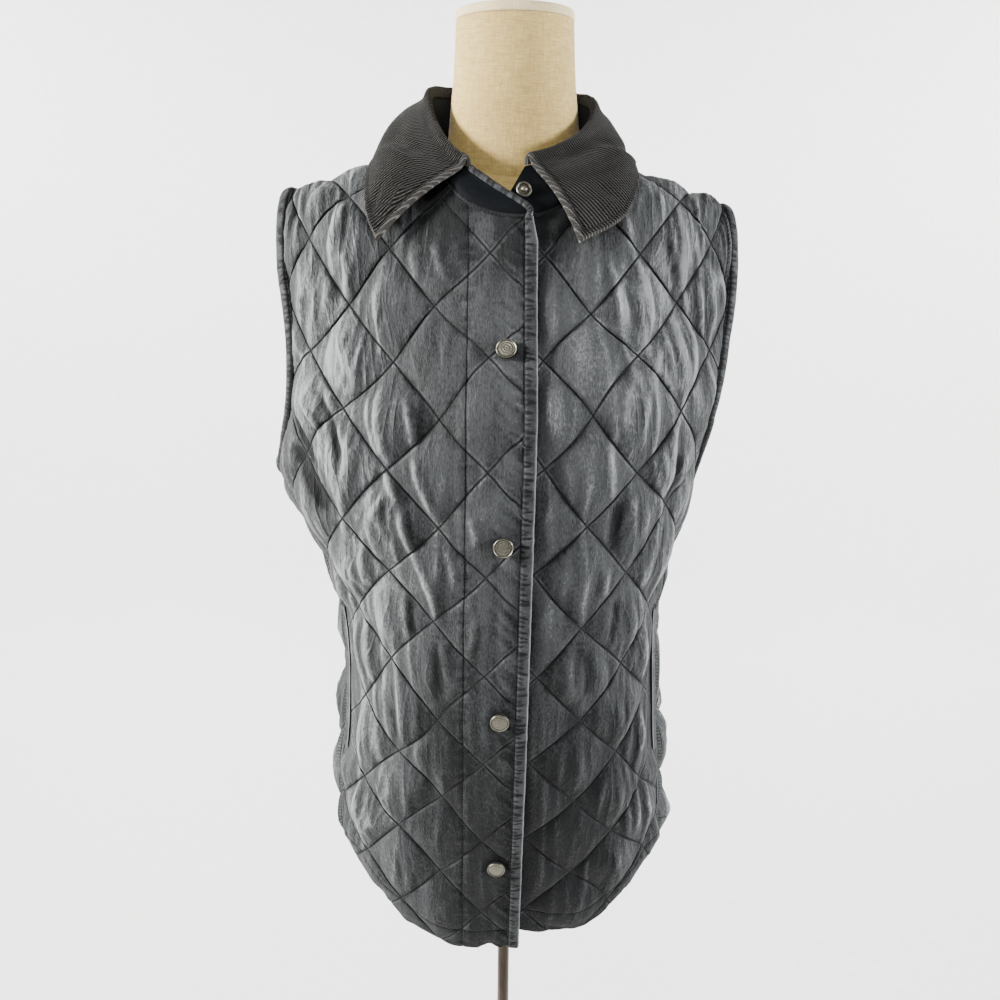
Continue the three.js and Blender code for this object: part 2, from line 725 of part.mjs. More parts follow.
// Stations along an edge given in fabric measures; out is on the side where the cloth ends
function edgeStations(face, edge, closedSide) {
  const at = ([u, v]) => cloth.clothPoint(face, u, v);
  return edge.map(([u, v], i) => {
    const before = at(edge[Math.max(0, i - 1)]);
    const after = at(edge[Math.min(edge.length - 1, i + 1)]);
    const along = after.sub(before).normalize();
    const normal = cloth.clothNormal(face, u, v);
    const out = along.clone().cross(normal).normalize().multiplyScalar(closedSide);
    return { point: at([u, v]), out, normal };
  });
}

function armholeBinding(side) {
  const turn = side === "left" ? -1 : 1;
  const front = edgeStations("front", armholeEdge("front", side), turn);
  const back = edgeStations("back", armholeEdge("back", side), -turn);
  const tip = joined(front.at(-1), back.at(-1));
  const seam = joined(front[0], back[0]);
  const ring = [...front.slice(1, -1), tip, ...back.slice(1, -1).reverse(), seam];
  return stripGeometry(ring, BINDING, true);
}

// One station halfway between two that meet at a seam
function joined(a, b) {
  return {
    point: a.point.clone().add(b.point).multiplyScalar(0.5),
    out: a.out.clone().add(b.out).normalize(),
    normal: a.normal.clone().add(b.normal).normalize(),
  };
}

function placketBinding() {
  const top = necklineMeasures("front", "left", 0)[1];
  const edge = [...centreEdge(PLACKET.edge, top, 0), [PLACKET.edge, 0]].reverse();
  return stripGeometry(edgeStations("front", edge, 1), PLACKET_BINDING, false);
}

// A welt over each pocket mouth, beside the side seam
function pocketWelt(side) {
  const steps = 8;
  const sign = signOf("front", side);
  const layer = (height) => {
    const rows = [];
    for (let i = 0; i <= steps; i += 1) {
      const z = mix(POCKET.bottom, POCKET.top, i / steps);
      const outer = seamWidth("front", side, z) - POCKET.inset;
      const line = [0, 0.5, 1].map((share) => {
        const u = sign * (outer - POCKET.width * share);
        const normal = cloth.clothNormal("front", u, z - HEM_Z);
        const thick = share === 0.5 || height === POCKET.low ? height : height - 0.8;
        return cloth.clothPoint("front", u, z - HEM_Z).addScaledVector(normal, thick);
      });
      rows.push(line);
    }
    return rows;
  };
  const outer = layer(POCKET.high);
  const inner = layer(POCKET.low);
  return wallGeometry(outer, inner, false);
}

// A round cap with a raised rim, its axis along the given direction
function capMesh(name, radius, height, rim, point, normal, material) {
  const profile = [
    [0, 0],
    [radius * 0.94, 0],
    [radius, height * 0.35],
    [radius, height * 0.75],
    [radius - rim * 0.5, height],
    [radius - rim, height],
    [radius - rim * 1.4, height * 0.8],
    [0, height * 0.9],
  ];
  const points = profile.map(([r, y]) => new THREE.Vector2(r, y));
  const mesh = new THREE.Mesh(new THREE.LatheGeometry(points, 20), material);
  mesh.name = name;
  mesh.position.copy(point);
  mesh.quaternion.setFromUnitVectors(new THREE.Vector3(0, 1, 0), normal);
  return mesh;
}

// Highest padding under a round piece that lies on the placket
function paddingUnder(u, v, radius) {
  const heights = [0, 1, 2, 3, 4, 5, 6, 7, 8].map((i) => {
    const reach = i === 0 ? 0 : radius;
    const across = u + reach * Math.cos((i * Math.PI) / 4);
    const up = v + reach * Math.sin((i * Math.PI) / 4);
    return pillow((-across - LATTICE.u) / CELL.u, (up - LATTICE.v) / CELL.v);
  });
  return PLACKET.relief * Math.max(...heights);
}

function snapMesh(index, level, material) {
  const rise = (level - CHEST_Z) / (ridgeZ(0, "left") - CHEST_Z);
  const chestV = cloth.measuresAt("front", "left", Math.abs(SNAP.across), Math.max(0, rise))[1];
  const v = level < CHEST_Z ? level - HEM_Z : chestV;
  const normal = cloth.clothNormal("front", SNAP.across, v);
  const padding = paddingUnder(SNAP.across, v, SNAP.radius / 2);
  const height = PLACKET.lift + WALL + padding + SEAM_GAP;
  const point = cloth.clothPoint("front", SNAP.across, v).addScaledVector(normal, height);
  const name = "snap_cap_" + (index + 1);
  return capMesh(name, SNAP.radius, SNAP.height, SNAP.rim, point, normal, material);
}

// Collar stations on a smooth curve through the table's rows
function collarStation(share) {
  const table = COLLAR.map((row, index) => ({ index, ...row }));
  const row = rowAt(table, "index", share * (COLLAR.length - 1));
  return {
    fold: new THREE.Vector3(row.foldX, row.foldY, row.foldZ),
    edge: new THREE.Vector3(row.edgeX, row.edgeY, row.edgeZ),
    bow: row.bow,
  };
}

// The fall: it starts on the stand, turns over the fold and runs down to its free edge
function collarGeometry() {
  const stations = (COLLAR.length - 1) * COLLAR_STEPS;
  const outer = [];
  const inner = [];
  const up = new THREE.Vector3(0, 0, 1);
  for (let i = 0; i <= stations; i += 1) {
    const { fold, edge, bow } = collarStation(i / stations);
    const out = edge.clone().sub(fold).setZ(0).normalize();
    const place = (from, side, height) =>
      from.clone().addScaledVector(out, side).addScaledVector(up, height);
    const start = place(fold, FOLD.out, -FOLD.drop);
    const line = [place(fold, 0, -FOLD.drop + FOLD.gap), place(fold, 0.4, -2), place(fold, 3, 0.5)];
    for (const share of [0, 0.25, 0.5, 0.75, 1]) {
      const point = start.clone().lerp(edge, share);
      point.addScaledVector(out, bow * Math.sin(Math.PI * share) * 0.6);
      line.push(point.addScaledVector(up, bow * Math.sin(Math.PI * share) * 0.6));
    }
    const tangent = (k) => line[Math.min(line.length - 1, k + 1)].clone().sub(line[Math.max(0, k - 1)]);
    const across = new THREE.Vector3().crossVectors(out, up).normalize();
    const offset = (sign) =>
      line.map((point, k) => {
        const side = tangent(k).normalize().cross(across).normalize();
        return point.clone().addScaledVector(side, (sign * COLLAR_WALL) / 2);
      });
    outer.push(offset(-1));
    inner.push(offset(1));
  }
  return wallGeometry(outer, inner, false);
}

// A station of the neckline, from the left front end round the back to the right front end
function necklineStation(share) {
  const quarter = clamp(Math.floor(share * 4), 0, 3);
  const part = share * 4 - quarter;
  const face = quarter === 0 || quarter === 3 ? "front" : "back";
  const side = quarter < 2 ? "left" : "right";
  const ends = [-Math.asin(STAND.leftEnd / NECK_POINT_X), -Math.asin(STAND.rightEnd / NECK_POINT_X)];
  const first = face === "back" ? 0 : ends[side === "left" ? 0 : 1];
  const rising = quarter % 2 === 0 ? part : 1 - part;
  const turn = mix(first, Math.PI / 2, rising);
  const [u, v] = necklineMeasures(face, side, turn);
  const normal = cloth.clothNormal(face, u, v);
  const lift = quarter === 0 ? PANELS.front_left.lift(u) : 0;
  const point = cloth.clothPoint(face, u, v).addScaledVector(normal, lift + STAND.depth);
  return { point, normal };
}

// The stand: a band from the neckline, upright at first, to just under the fold
function standGeometry() {
  const stations = 40;
  const outer = [];
  const inner = [];
  for (let i = 0; i <= stations; i += 1) {
    const { foot, top, out } = standStation(i / stations);
    const bend = foot.clone().add(new THREE.Vector3(0, 0, STAND.rise));
    const line = [foot, bend, bend.clone().lerp(top, 0.5), top];
    outer.push(line.map((point) => point.clone().addScaledVector(out, STAND.wall / 2)));
    inner.push(line.map((point) => point.clone().addScaledVector(out, -STAND.wall / 2)));
  }
  return wallGeometry(outer, inner, false);
}

function standStation(share) {
  const step = 0.004;
  const { point, normal } = necklineStation(share);
  const before = necklineStation(Math.max(0, share - step)).point;
  const along = necklineStation(Math.min(1, share + step)).point.sub(before).normalize();
  const away = along.cross(normal).normalize();
  const axis = new THREE.Vector3(NECK[0].x, NECK[0].y, point.z);
  if (away.dot(axis.clone().sub(point)) < 0) away.negate();
  const clear = STAND.gap + (STAND.wall / 2) * Math.hypot(away.x, away.y);
  const foot = point.clone().addScaledVector(away, clear);
  const out = foot.clone().sub(axis).setZ(0).normalize();
  const { fold } = collarStation(share);
  return { foot, top: fold.clone().setZ(fold.z - FOLD.drop), out };
}

// The ring of the top snap, bare on the right end of the stand
function studMesh(material) {
  const { foot, top, out } = standStation(STUD.share);
  const bend = foot.clone().add(new THREE.Vector3(0, 0, STAND.rise));
  const slope = top.clone().sub(bend).normalize();
  const side = new THREE.Vector3().crossVectors(slope, out).normalize();
  const normal = side.cross(slope).normalize();
  if (normal.dot(out) < 0) normal.negate();
  const point = bend.lerp(top, STUD.up).addScaledVector(normal, STAND.wall / 2 + STUD.gap);
  return capMesh("collar_stud", STUD.radius, STUD.height, STUD.rim, point, normal, material);
}

// The dress form: rings from its base to the chest, then the chest up to the shoulder ridge
function formLoop(pointAt) {
  const loop = [];
  for (let k = 0; k < FORM_SIDES; k += 1) {
    const turn = (360 * k) / FORM_SIDES;
    const side = turn <= 180 ? "right" : "left";
    loop.push(pointAt(side, turn <= 180 ? turn : 360 - turn));
  }
  return loop;
}

function formTorso() {
  const rows = FORM_LEVELS.map((z) => formLoop((side, turn) => figure.ringPoint(z, side, turn)));
  for (const rise of [0, ...FORM_RISES]) {
    const half = rowAt(FORM_CHEST, "rise", rise).left;
    rows.push(
      formLoop((side, turn) => {
        const across = half * Math.pow(Math.sin(turn * RADIANS), PLAN_POWER);
        return figure.chestPoint(across, rise, side, turn < 90 ? "front" : "back");
      }),
    );
  }
  const points = rows.flat();
  const faces = gridFaces(rows.length, FORM_SIDES, 0, true, false);
  const centre = points.length;
  points.push(new THREE.Vector3(0, 0, FORM_LEVELS[0]));
  for (let k = 0; k < FORM_SIDES; k += 1) faces.push([centre, (k + 1) % FORM_SIDES, k]);
  return solidOf(geometryOf(points, faces));
}

// An upright loft of oval rows, flat at both ends
function ovalSolid(rows, sides) {
  const points = [];
  for (const row of rows) {
    for (let k = 0; k < sides; k += 1) {
      const angle = (2 * Math.PI * k) / sides;
      const x = row.x + row.across * Math.cos(angle);
      points.push(new THREE.Vector3(x, row.y + row.deep * Math.sin(angle), row.z));
    }
  }
  const faces = gridFaces(rows.length, sides, 0, true, false);
  for (const [row, end] of [[rows[0], 0], [rows.at(-1), rows.length - 1]]) {
    const centre = points.length;
    points.push(new THREE.Vector3(row.x, row.y, row.z));
    for (let k = 0; k < sides; k += 1) {
      const a = end * sides + k;
      const b = end * sides + ((k + 1) % sides);
      faces.push(end === 0 ? [centre, b, a] : [centre, a, b]);
    }
  }
  return solidOf(geometryOf(points, faces));
}

function formGeometry() {
  const steps = 6;
  const rows = [];
  for (let i = 0; i <= steps; i += 1) {
    rows.push(rowAt(NECK, "z", mix(NECK[0].z, NECK.at(-1).z, i / steps)));
  }
  return meshOf(formTorso().add(ovalSolid(rows, NECK_SIDES)));
}

function capGeometry() {
  const top = NECK.at(-1);
  const rows = [
    { ...top, z: top.z + CAP.gap },
    { ...top, z: top.z + CAP.height - 2 },
    { ...top, across: top.across - 2, deep: top.deep - 2, z: top.z + CAP.height },
  ];
  return meshOf(ovalSolid(rows, NECK_SIDES));
}

function poleGeometry() {
  const { radius, sides } = POLE;
  const bottom = BASE.bossTop + SEAM_GAP;
  const top = FORM_BODY[0].z - SEAM_GAP;
  const rows = [bottom, top].map((z) => ({ z, across: radius, deep: radius, x: 0, y: 0 }));
  return meshOf(ovalSolid(rows, sides));
}

function baseGeometry() {
  const { radius, height, bevel, boss, bossTop } = BASE;
  const profile = [
    [0, 0],
    [radius, 0],
    [radius, height - bevel],
    [radius - bevel, height],
    [boss, height],
    [boss - bevel, bossTop],
    [0, bossTop],
  ];
  const points = profile.map(([r, y]) => new THREE.Vector2(r, y));
  return new THREE.LatheGeometry(points, 64).rotateX(Math.PI / 2);
}

// The whole object
const materials = {};
for (const [slot, look] of Object.entries(MATERIALS)) {
  materials[slot] = new THREE.MeshStandardMaterial(look);
}

const group = new THREE.Group();

function add(name, geometry, slot) {
  const mesh = new THREE.Mesh(geometry, materials[slot]);
  mesh.name = name;
  group.add(mesh);
}

for (const [name, panel] of Object.entries(PANELS)) {
  add(name, panelGeometry(panel), "quilted_shell");
}
add("armhole_binding_left", armholeBinding("left"), "edge_binding");
add("armhole_binding_right", armholeBinding("right"), "edge_binding");
add("placket_binding", placketBinding(), "edge_binding");
add("pocket_welt_left", pocketWelt("left"), "edge_binding");
add("pocket_welt_right", pocketWelt("right"), "edge_binding");
add("collar_stand", standGeometry(), "stand_cloth");
add("collar", collarGeometry(), "corduroy");
SNAP.levels.forEach((level, index) => {
  group.add(snapMesh(index, level, materials.snap_metal));
});
group.add(studMesh(materials.snap_metal));
add("form_torso", formGeometry(), "form_linen");
add("form_neck_cap", capGeometry(), "form_cap");
add("stand_pole", poleGeometry(), "pole_metal");
add("stand_base", baseGeometry(), "base_metal");

export default group;
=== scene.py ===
import math

import bpy
import numpy as np
from mathutils import Matrix, Vector


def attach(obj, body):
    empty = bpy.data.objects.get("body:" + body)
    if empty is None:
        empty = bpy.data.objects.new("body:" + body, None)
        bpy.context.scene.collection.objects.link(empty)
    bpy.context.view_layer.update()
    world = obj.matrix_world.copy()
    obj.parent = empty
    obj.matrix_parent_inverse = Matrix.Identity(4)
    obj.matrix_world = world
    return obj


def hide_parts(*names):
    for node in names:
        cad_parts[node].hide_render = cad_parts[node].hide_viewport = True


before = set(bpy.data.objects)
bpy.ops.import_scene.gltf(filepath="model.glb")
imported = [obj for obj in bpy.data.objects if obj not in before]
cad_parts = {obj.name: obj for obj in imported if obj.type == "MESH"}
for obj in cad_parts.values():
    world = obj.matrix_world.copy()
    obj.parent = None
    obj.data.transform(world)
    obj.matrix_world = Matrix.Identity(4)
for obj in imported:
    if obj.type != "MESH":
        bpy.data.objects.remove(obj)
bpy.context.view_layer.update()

# Lengths are millimetres and meshes are written in metres; "left" is -X, and the vest faces -Y
UP = np.array([0.0, 0.0, 1.0])
MM = 0.001

# Main levels, places and gaps of the garment, and how it leans and rounds
HEM_Z = 720
CHEST_Z = 1230
NECK_POINT_X = 62
NECK_POINT_Z = 1445
RIDGE_Y = 5
RIDGE_SLOPE = {"left": 0.24, "right": 0.345}
NECK_RISE = 0.15
PLAN_POWER = 0.8
LEAN = (-3, 3)
SEAM_TURN = 70
SEAM_GAP = 0.4
SHOULDER_GAP = 0.4

# The cloth and its quilting
WALL = 2
PUFF = 6.2
FULLNESS = 0.72
CELL_U = 20
CELL_V = 22
LATTICE_U = 20
LATTICE_V = 44
LINE_CELLS = 4
LINE_GAP = math.pi / math.hypot(math.pi / (CELL_U * LINE_CELLS), math.pi / (CELL_V * LINE_CELLS))
WANDER = 6

# The front closing
PLACKET = {"edge": 7, "stitch": -37, "blend": -75, "lift": 3.2, "relief": 0.45}
CENTRE_BOW = 0.5
UNDERLAP = {"edge": -30, "flat": 14, "full": 34, "shorter": 25}
BINDING = {"gap": 0.5, "width": 8, "low": -0.5, "high": 6}
PLACKET_BINDING = {"gap": 0.4, "width": 8.7, "low": 2.6, "high": 8}
SNAP = {"across": -6, "radius": 8.3, "height": 3.2, "rim": 1.1}
SNAP_LEVELS = (821.5, 987, 1143.5, 1292)
POCKET = {"bottom": 907, "top": 1055, "width": 12, "low": 2.3, "high": 5, "inset": 1.5}

# Inside of the cloth from hem to chest
BODY = {
    "z": [690, 720, 787, 825, 881, 927, 971, 1014, 1056, 1097, 1137, 1177, 1204, 1230],
    "left": [160, 162, 164, 166.5, 165.5, 159, 155.5, 154.5, 158, 170, 190, 208, 207, 204],
    "right": [154, 156, 158.5, 156, 153, 147.5, 144, 141, 140, 146, 160, 167, 176, 188],
    "front": [93, 97, 106, 111.5, 122, 130, 137, 141, 143.5, 144.5, 145, 145.5, 146, 146],
    "back": [107, 108, 110, 108, 100, 92, 87, 87, 91, 96, 100, 103, 104, 105],
}

# Inside of the cloth from the chest to the shoulder ridge
CHEST = {
    "rise": [0, 0.1, 0.2, 0.394, 0.57, 0.784, 0.92, 1],
    "left": [204, 204, 206, 211, 218, 221, 222, 222],
    "right": [188, 193, 198, 205, 212, 214, 215, 215],
    "front": [146, 144, 134, 107, 94, 82, 72, 64],
    "back": [105, 107, 106, 100, 92, 80, 68, 60],
}

# Cut edges of the armholes, the hem and the neckline
ARMHOLE_SIDE = {
    "z": [1230, 1255, 1285, 1325, 1360],
    "left": [187, 182.5, 181.5, 185, 189],
    "right": [164, 168, 174, 179.5, 181],
}
ARMHOLE_TIP = {"left": 190, "right": 181}
ARMHOLE_UNDER = {
    "turn": [70, 80, 90, 100, 112],
    "left": [1186, 1173, 1167, 1170, 1188],
    "right": [1188, 1166, 1155, 1159, 1180],
}
HEM_CURVE = {
    "share": [0, 0.3, 0.46, 0.64, 0.74, 0.82, 0.93, 1],
    "front": [0, 0, 8, 31, 48, 60.5, 71, 77],
    "back": [-13, -13, -11, 6, 25, 46, 68, 77],
}
NECKLINE = {"front": 0.73, "back": 0.953}

# Collar: top of the stand and free edge of the fall, from the left front round the back
COLLAR = {
    "index": list(range(11)),
    "fold_x": [-34, -47, -61, -69, -53, 0, 52, 67, 57, 33, 9.5],
    "fold_y": [-66, -57, -38, -3, 44, 63, 44, -3, -38, -57, -66],
    "fold_z": [1440, 1449, 1468, 1497, 1504, 1505, 1501, 1489, 1466, 1449, 1442],
    "edge_x": [-107, -117, -120, -115, -86, 0, 80, 93, 103, 89, 53],
    "edge_y": [-92, -76, -45, 4, 66, 98, 66, 4, -43, -78, -94],
    "edge_z": [1376, 1398, 1424, 1441, 1434, 1428, 1434, 1444, 1426, 1396, 1376],
    "bow": [5, 7, 8, 10, 10, 9, 9, 6, 7, 7, 5],
}
COLLAR_WALL = 3
FOLD = {"drop": 8, "out": 8, "gap": 0.95}
STAND = {"wall": 2.6, "gap": 0.7, "depth": 1.5, "rise": 6, "left_end": 10, "right_end": 12}
STUD = {"share": 0.972, "up": 0.4, "gap": 0.8, "radius": 6.4, "height": 2.2, "rim": 1.3}

# The dress form, its neck and its stand
FORM_BODY = {
    "z": [770, 800, 860, 930, 990, 1060, 1130, 1180, 1230],
    "half": [134, 140, 138, 126, 119, 126, 142, 150, 157],
    "front": [82, 88, 92, 92, 92, 104, 122, 128, 124],
    "back": [88, 94, 90, 76, 70, 76, 88, 93, 96],
}
FORM_CHEST = {
    "rise": [0, 0.2, 0.394, 0.6, 0.784, 0.92, 1],
    "half": [157, 164, 170, 174, 177, 179, 180],
    "front": [124, 114, 95, 83, 75, 66, 57],
    "back": [96, 97, 91, 82, 72, 61, 53],
}
FORM_DROP = 0.6
NECK = {
    "z": [1405, 1445, 1477, 1505, 1549],
    "across": [59, 57, 54, 51, 48.5],
    "deep": [50, 47, 46.5, 46, 45],
    "x": [1.5, 1.5, 1, 1, 1],
    "y": [-6, -6, -6, -7, -8],
}
CAP = {"height": 8, "gap": 0.3}
POLE_RADIUS = 6.25
BASE = {"radius": 170, "height": 8, "bevel": 2, "boss": 22, "boss_top": 24}
FORM_SIDES = 144

# Steps of the tables of lengths on the cloth
RING_STEP = 2.0
COLUMNS = 240

# Rows of stitches: above the hem, beside the side seams, and the length of a stitch
HEM_STITCH = 21
SEAM_STITCHES = (3, 9)
STITCH_PITCH = 3.1

# Ripple of the hem's edge, and how far the hem swings in and out
HEM_RIPPLE = {"pitch": 12, "high": 3.2, "reach": 28}
HEM_SWING = {"pitch": 42, "high": 2.2, "reach": 60}

# Streaks of the washed cloth spread out round a level of the waist
STREAK = {"rise": 0.3, "level": 470, "reach": 150}

# Wear of the cloth on its crests, calmer towards the sides
CREST = {"reach": 5, "front": 0.7, "back": 0.4, "calm": 0.5, "calmed": (140, 200)}

# Painted shadow on the shell under the collar: how dark it is and how far it reaches
COLLAR_SHADE = {"amount": 2.0, "reach": 84}

# Narrow strips: loop of section points, row of stitches, tuck under the edge, pitch of puckers
SECTION_TOP = 12
SECTION = np.concatenate([np.linspace(0, 1, SECTION_TOP), np.linspace(1, 0, 5)[1:]])
STRIP = {"stitch": 0.1, "tuck": 2.8, "pitch": 4.6, "bumps": 0.35}
WELT_PITCH = 6
SEAM_ROLL = {"radius": 1.8, "pitch": 6.2, "sides": 14}
STAND_ROLL = {"radius": 2.6, "pitch": 4.5, "sides": 18}

# The collar's length and wales, and its folds: places along it and below the fold, half width and height
COLLAR_LENGTH = 480
WALE_FAN = 0.25
WALE_PITCH = 1.85
COLLAR_FOLDS = [
    (120, -55, 67, -33, 7, -3.4),
    (118, -65, 50, -40, 5, 2.4),
    (30, -60, 12, -84, 5, 1.8),
    (60, -70, 35, -96, 6, -1.6),
    (403, -24, 345, -80, 4.5, 2.6),
    (393, -22, 335, -72, 7, -3.2),
    (440, -50, 425, -80, 6, -1.2),
    (200, -40, 215, -75, 7, 1.4),
    (270, -35, 262, -80, 7, 1.4),
]

# Camera: place, tilt down and roll in degrees, and focal length
CAMERA = {"place": (-8, -866, 1387), "pitch": 16, "roll": 0.5, "lens": 34.2}

# Lights: name, place, target and size in metres, power in watts, colour
LIGHTS = (
    ("key", (-1.75, -0.42, 1.75), (0, 0, 1.25), 0.4, 150, (1.0, 0.985, 0.96)),
    ("side", (1.8, -0.4, 1.6), (0, 0, 1.25), 0.5, 80, (0.98, 0.99, 1.0)),
    ("front", (-0.3, -1.5, 2.7), (0, 0, 1.4), 0.6, 26, (1.0, 1.0, 1.0)),
    ("wall_left", (-2.0, 1.3, 2.2), (-0.6, 3.6, 1.3), 1.6, 160, (1, 1, 1)),
    ("wall_right", (2.0, 1.3, 2.2), (0.6, 3.6, 1.3), 1.6, 160, (1, 1, 1)),
)
STUDIO = {"sides": 96, "floor": 3000, "curve": 900, "wall": 1300, "top": 3600}

# Colours of the materials, as linear red, green and blue
# The shell's deep colour also gives painted shade, its rubbed colour also painted highlights
SHELL = {
    "deep": (0.006, 0.0065, 0.0072),
    "plain": (0.044, 0.0468, 0.0485),
    "rubbed_and_painted_light": (0.21, 0.219, 0.222),
    "shade": (0.006, 0.0065, 0.0075),
    "thread": (0.006, 0.0065, 0.008),
}
EDGING = {
    "deep": (0.008, 0.0085, 0.0095),
    "plain": (0.07, 0.074, 0.077),
    "rubbed_and_painted_light": (0.21, 0.22, 0.225),
    "thread": (0.008, 0.0085, 0.01),
}
CORDUROY = {
    "shaded_groove": (0.0012, 0.0012, 0.0012),
    "plain": (0.036, 0.0335, 0.03),
    "rubbed_and_painted_light": (0.22, 0.21, 0.195),
    "thread": (0.006, 0.006, 0.007),
}
SHADED_TWILL = {"deep": (0.0012, 0.0018, 0.0026), "plain": (0.0055, 0.007, 0.009), "thread": (0.003, 0.003, 0.004)}
NICKEL = {"stained": (0.06, 0.056, 0.044), "bright": (0.27, 0.255, 0.2), "painted_shade": (0.045, 0.042, 0.036)}
LINEN = {"deep": (0.35, 0.235, 0.078), "pale": (0.62, 0.46, 0.165)}
CAP_CLOTH = {"deep": (0.5, 0.4, 0.2), "pale": (0.78, 0.67, 0.42)}
BRONZE = {"deep": (0.022, 0.015, 0.01), "pale": (0.06, 0.044, 0.03)}
PAINT = {"deep": (0.022, 0.0205, 0.018), "pale": (0.038, 0.035, 0.031)}
PAPER = {"plain": (0.88, 0.88, 0.875), "pale": (0.92, 0.92, 0.915), "grey": (0.2, 0.2, 0.205)}

# Seeds of what is drawn at random, apart from the seeds of the panels
SEEDS = {
    "back_creases": 21,
    "armhole_binding_left": 31,
    "armhole_binding_right": 32,
    "placket_binding": 33,
    "pocket_welt_left": 41,
    "pocket_welt_right": 42,
    "collar": 61,
    "collar_stand": 71,
    "collar_stand_edge": 81,
    "neckline_seam": 82,
}

# Painted light and shade on the cloth: paler patches on the lit sides, darker ones towards the centre and
# the bottom, and a painted sheen patch on the placket; place, reach across and up, amount
LIGHT_AND_SHADE_PATCHES = {
    "front_left": [
        (-165, 585, 60, 70, 0.7),
        (-125, 330, 50, 170, 0.9),
        (-50, 575, 45, 80, -0.5),
        (-60, 260, 45, 80, -0.7),
        (-20, 90, 80, 170, -1.5),
        (-26, 684, 13, 30, 1.7),
    ],
    "front_right": [
        (110, 610, 60, 110, 1.0),
        (60, 90, 80, 190, -1.7),
        (120, 250, 40, 130, -0.7),
    ],
    "back": [
        (-130, 420, 60, 160, 0.7),
        (120, 560, 70, 120, 0.6),
        (0, 80, 170, 170, -1.2),
    ],
}
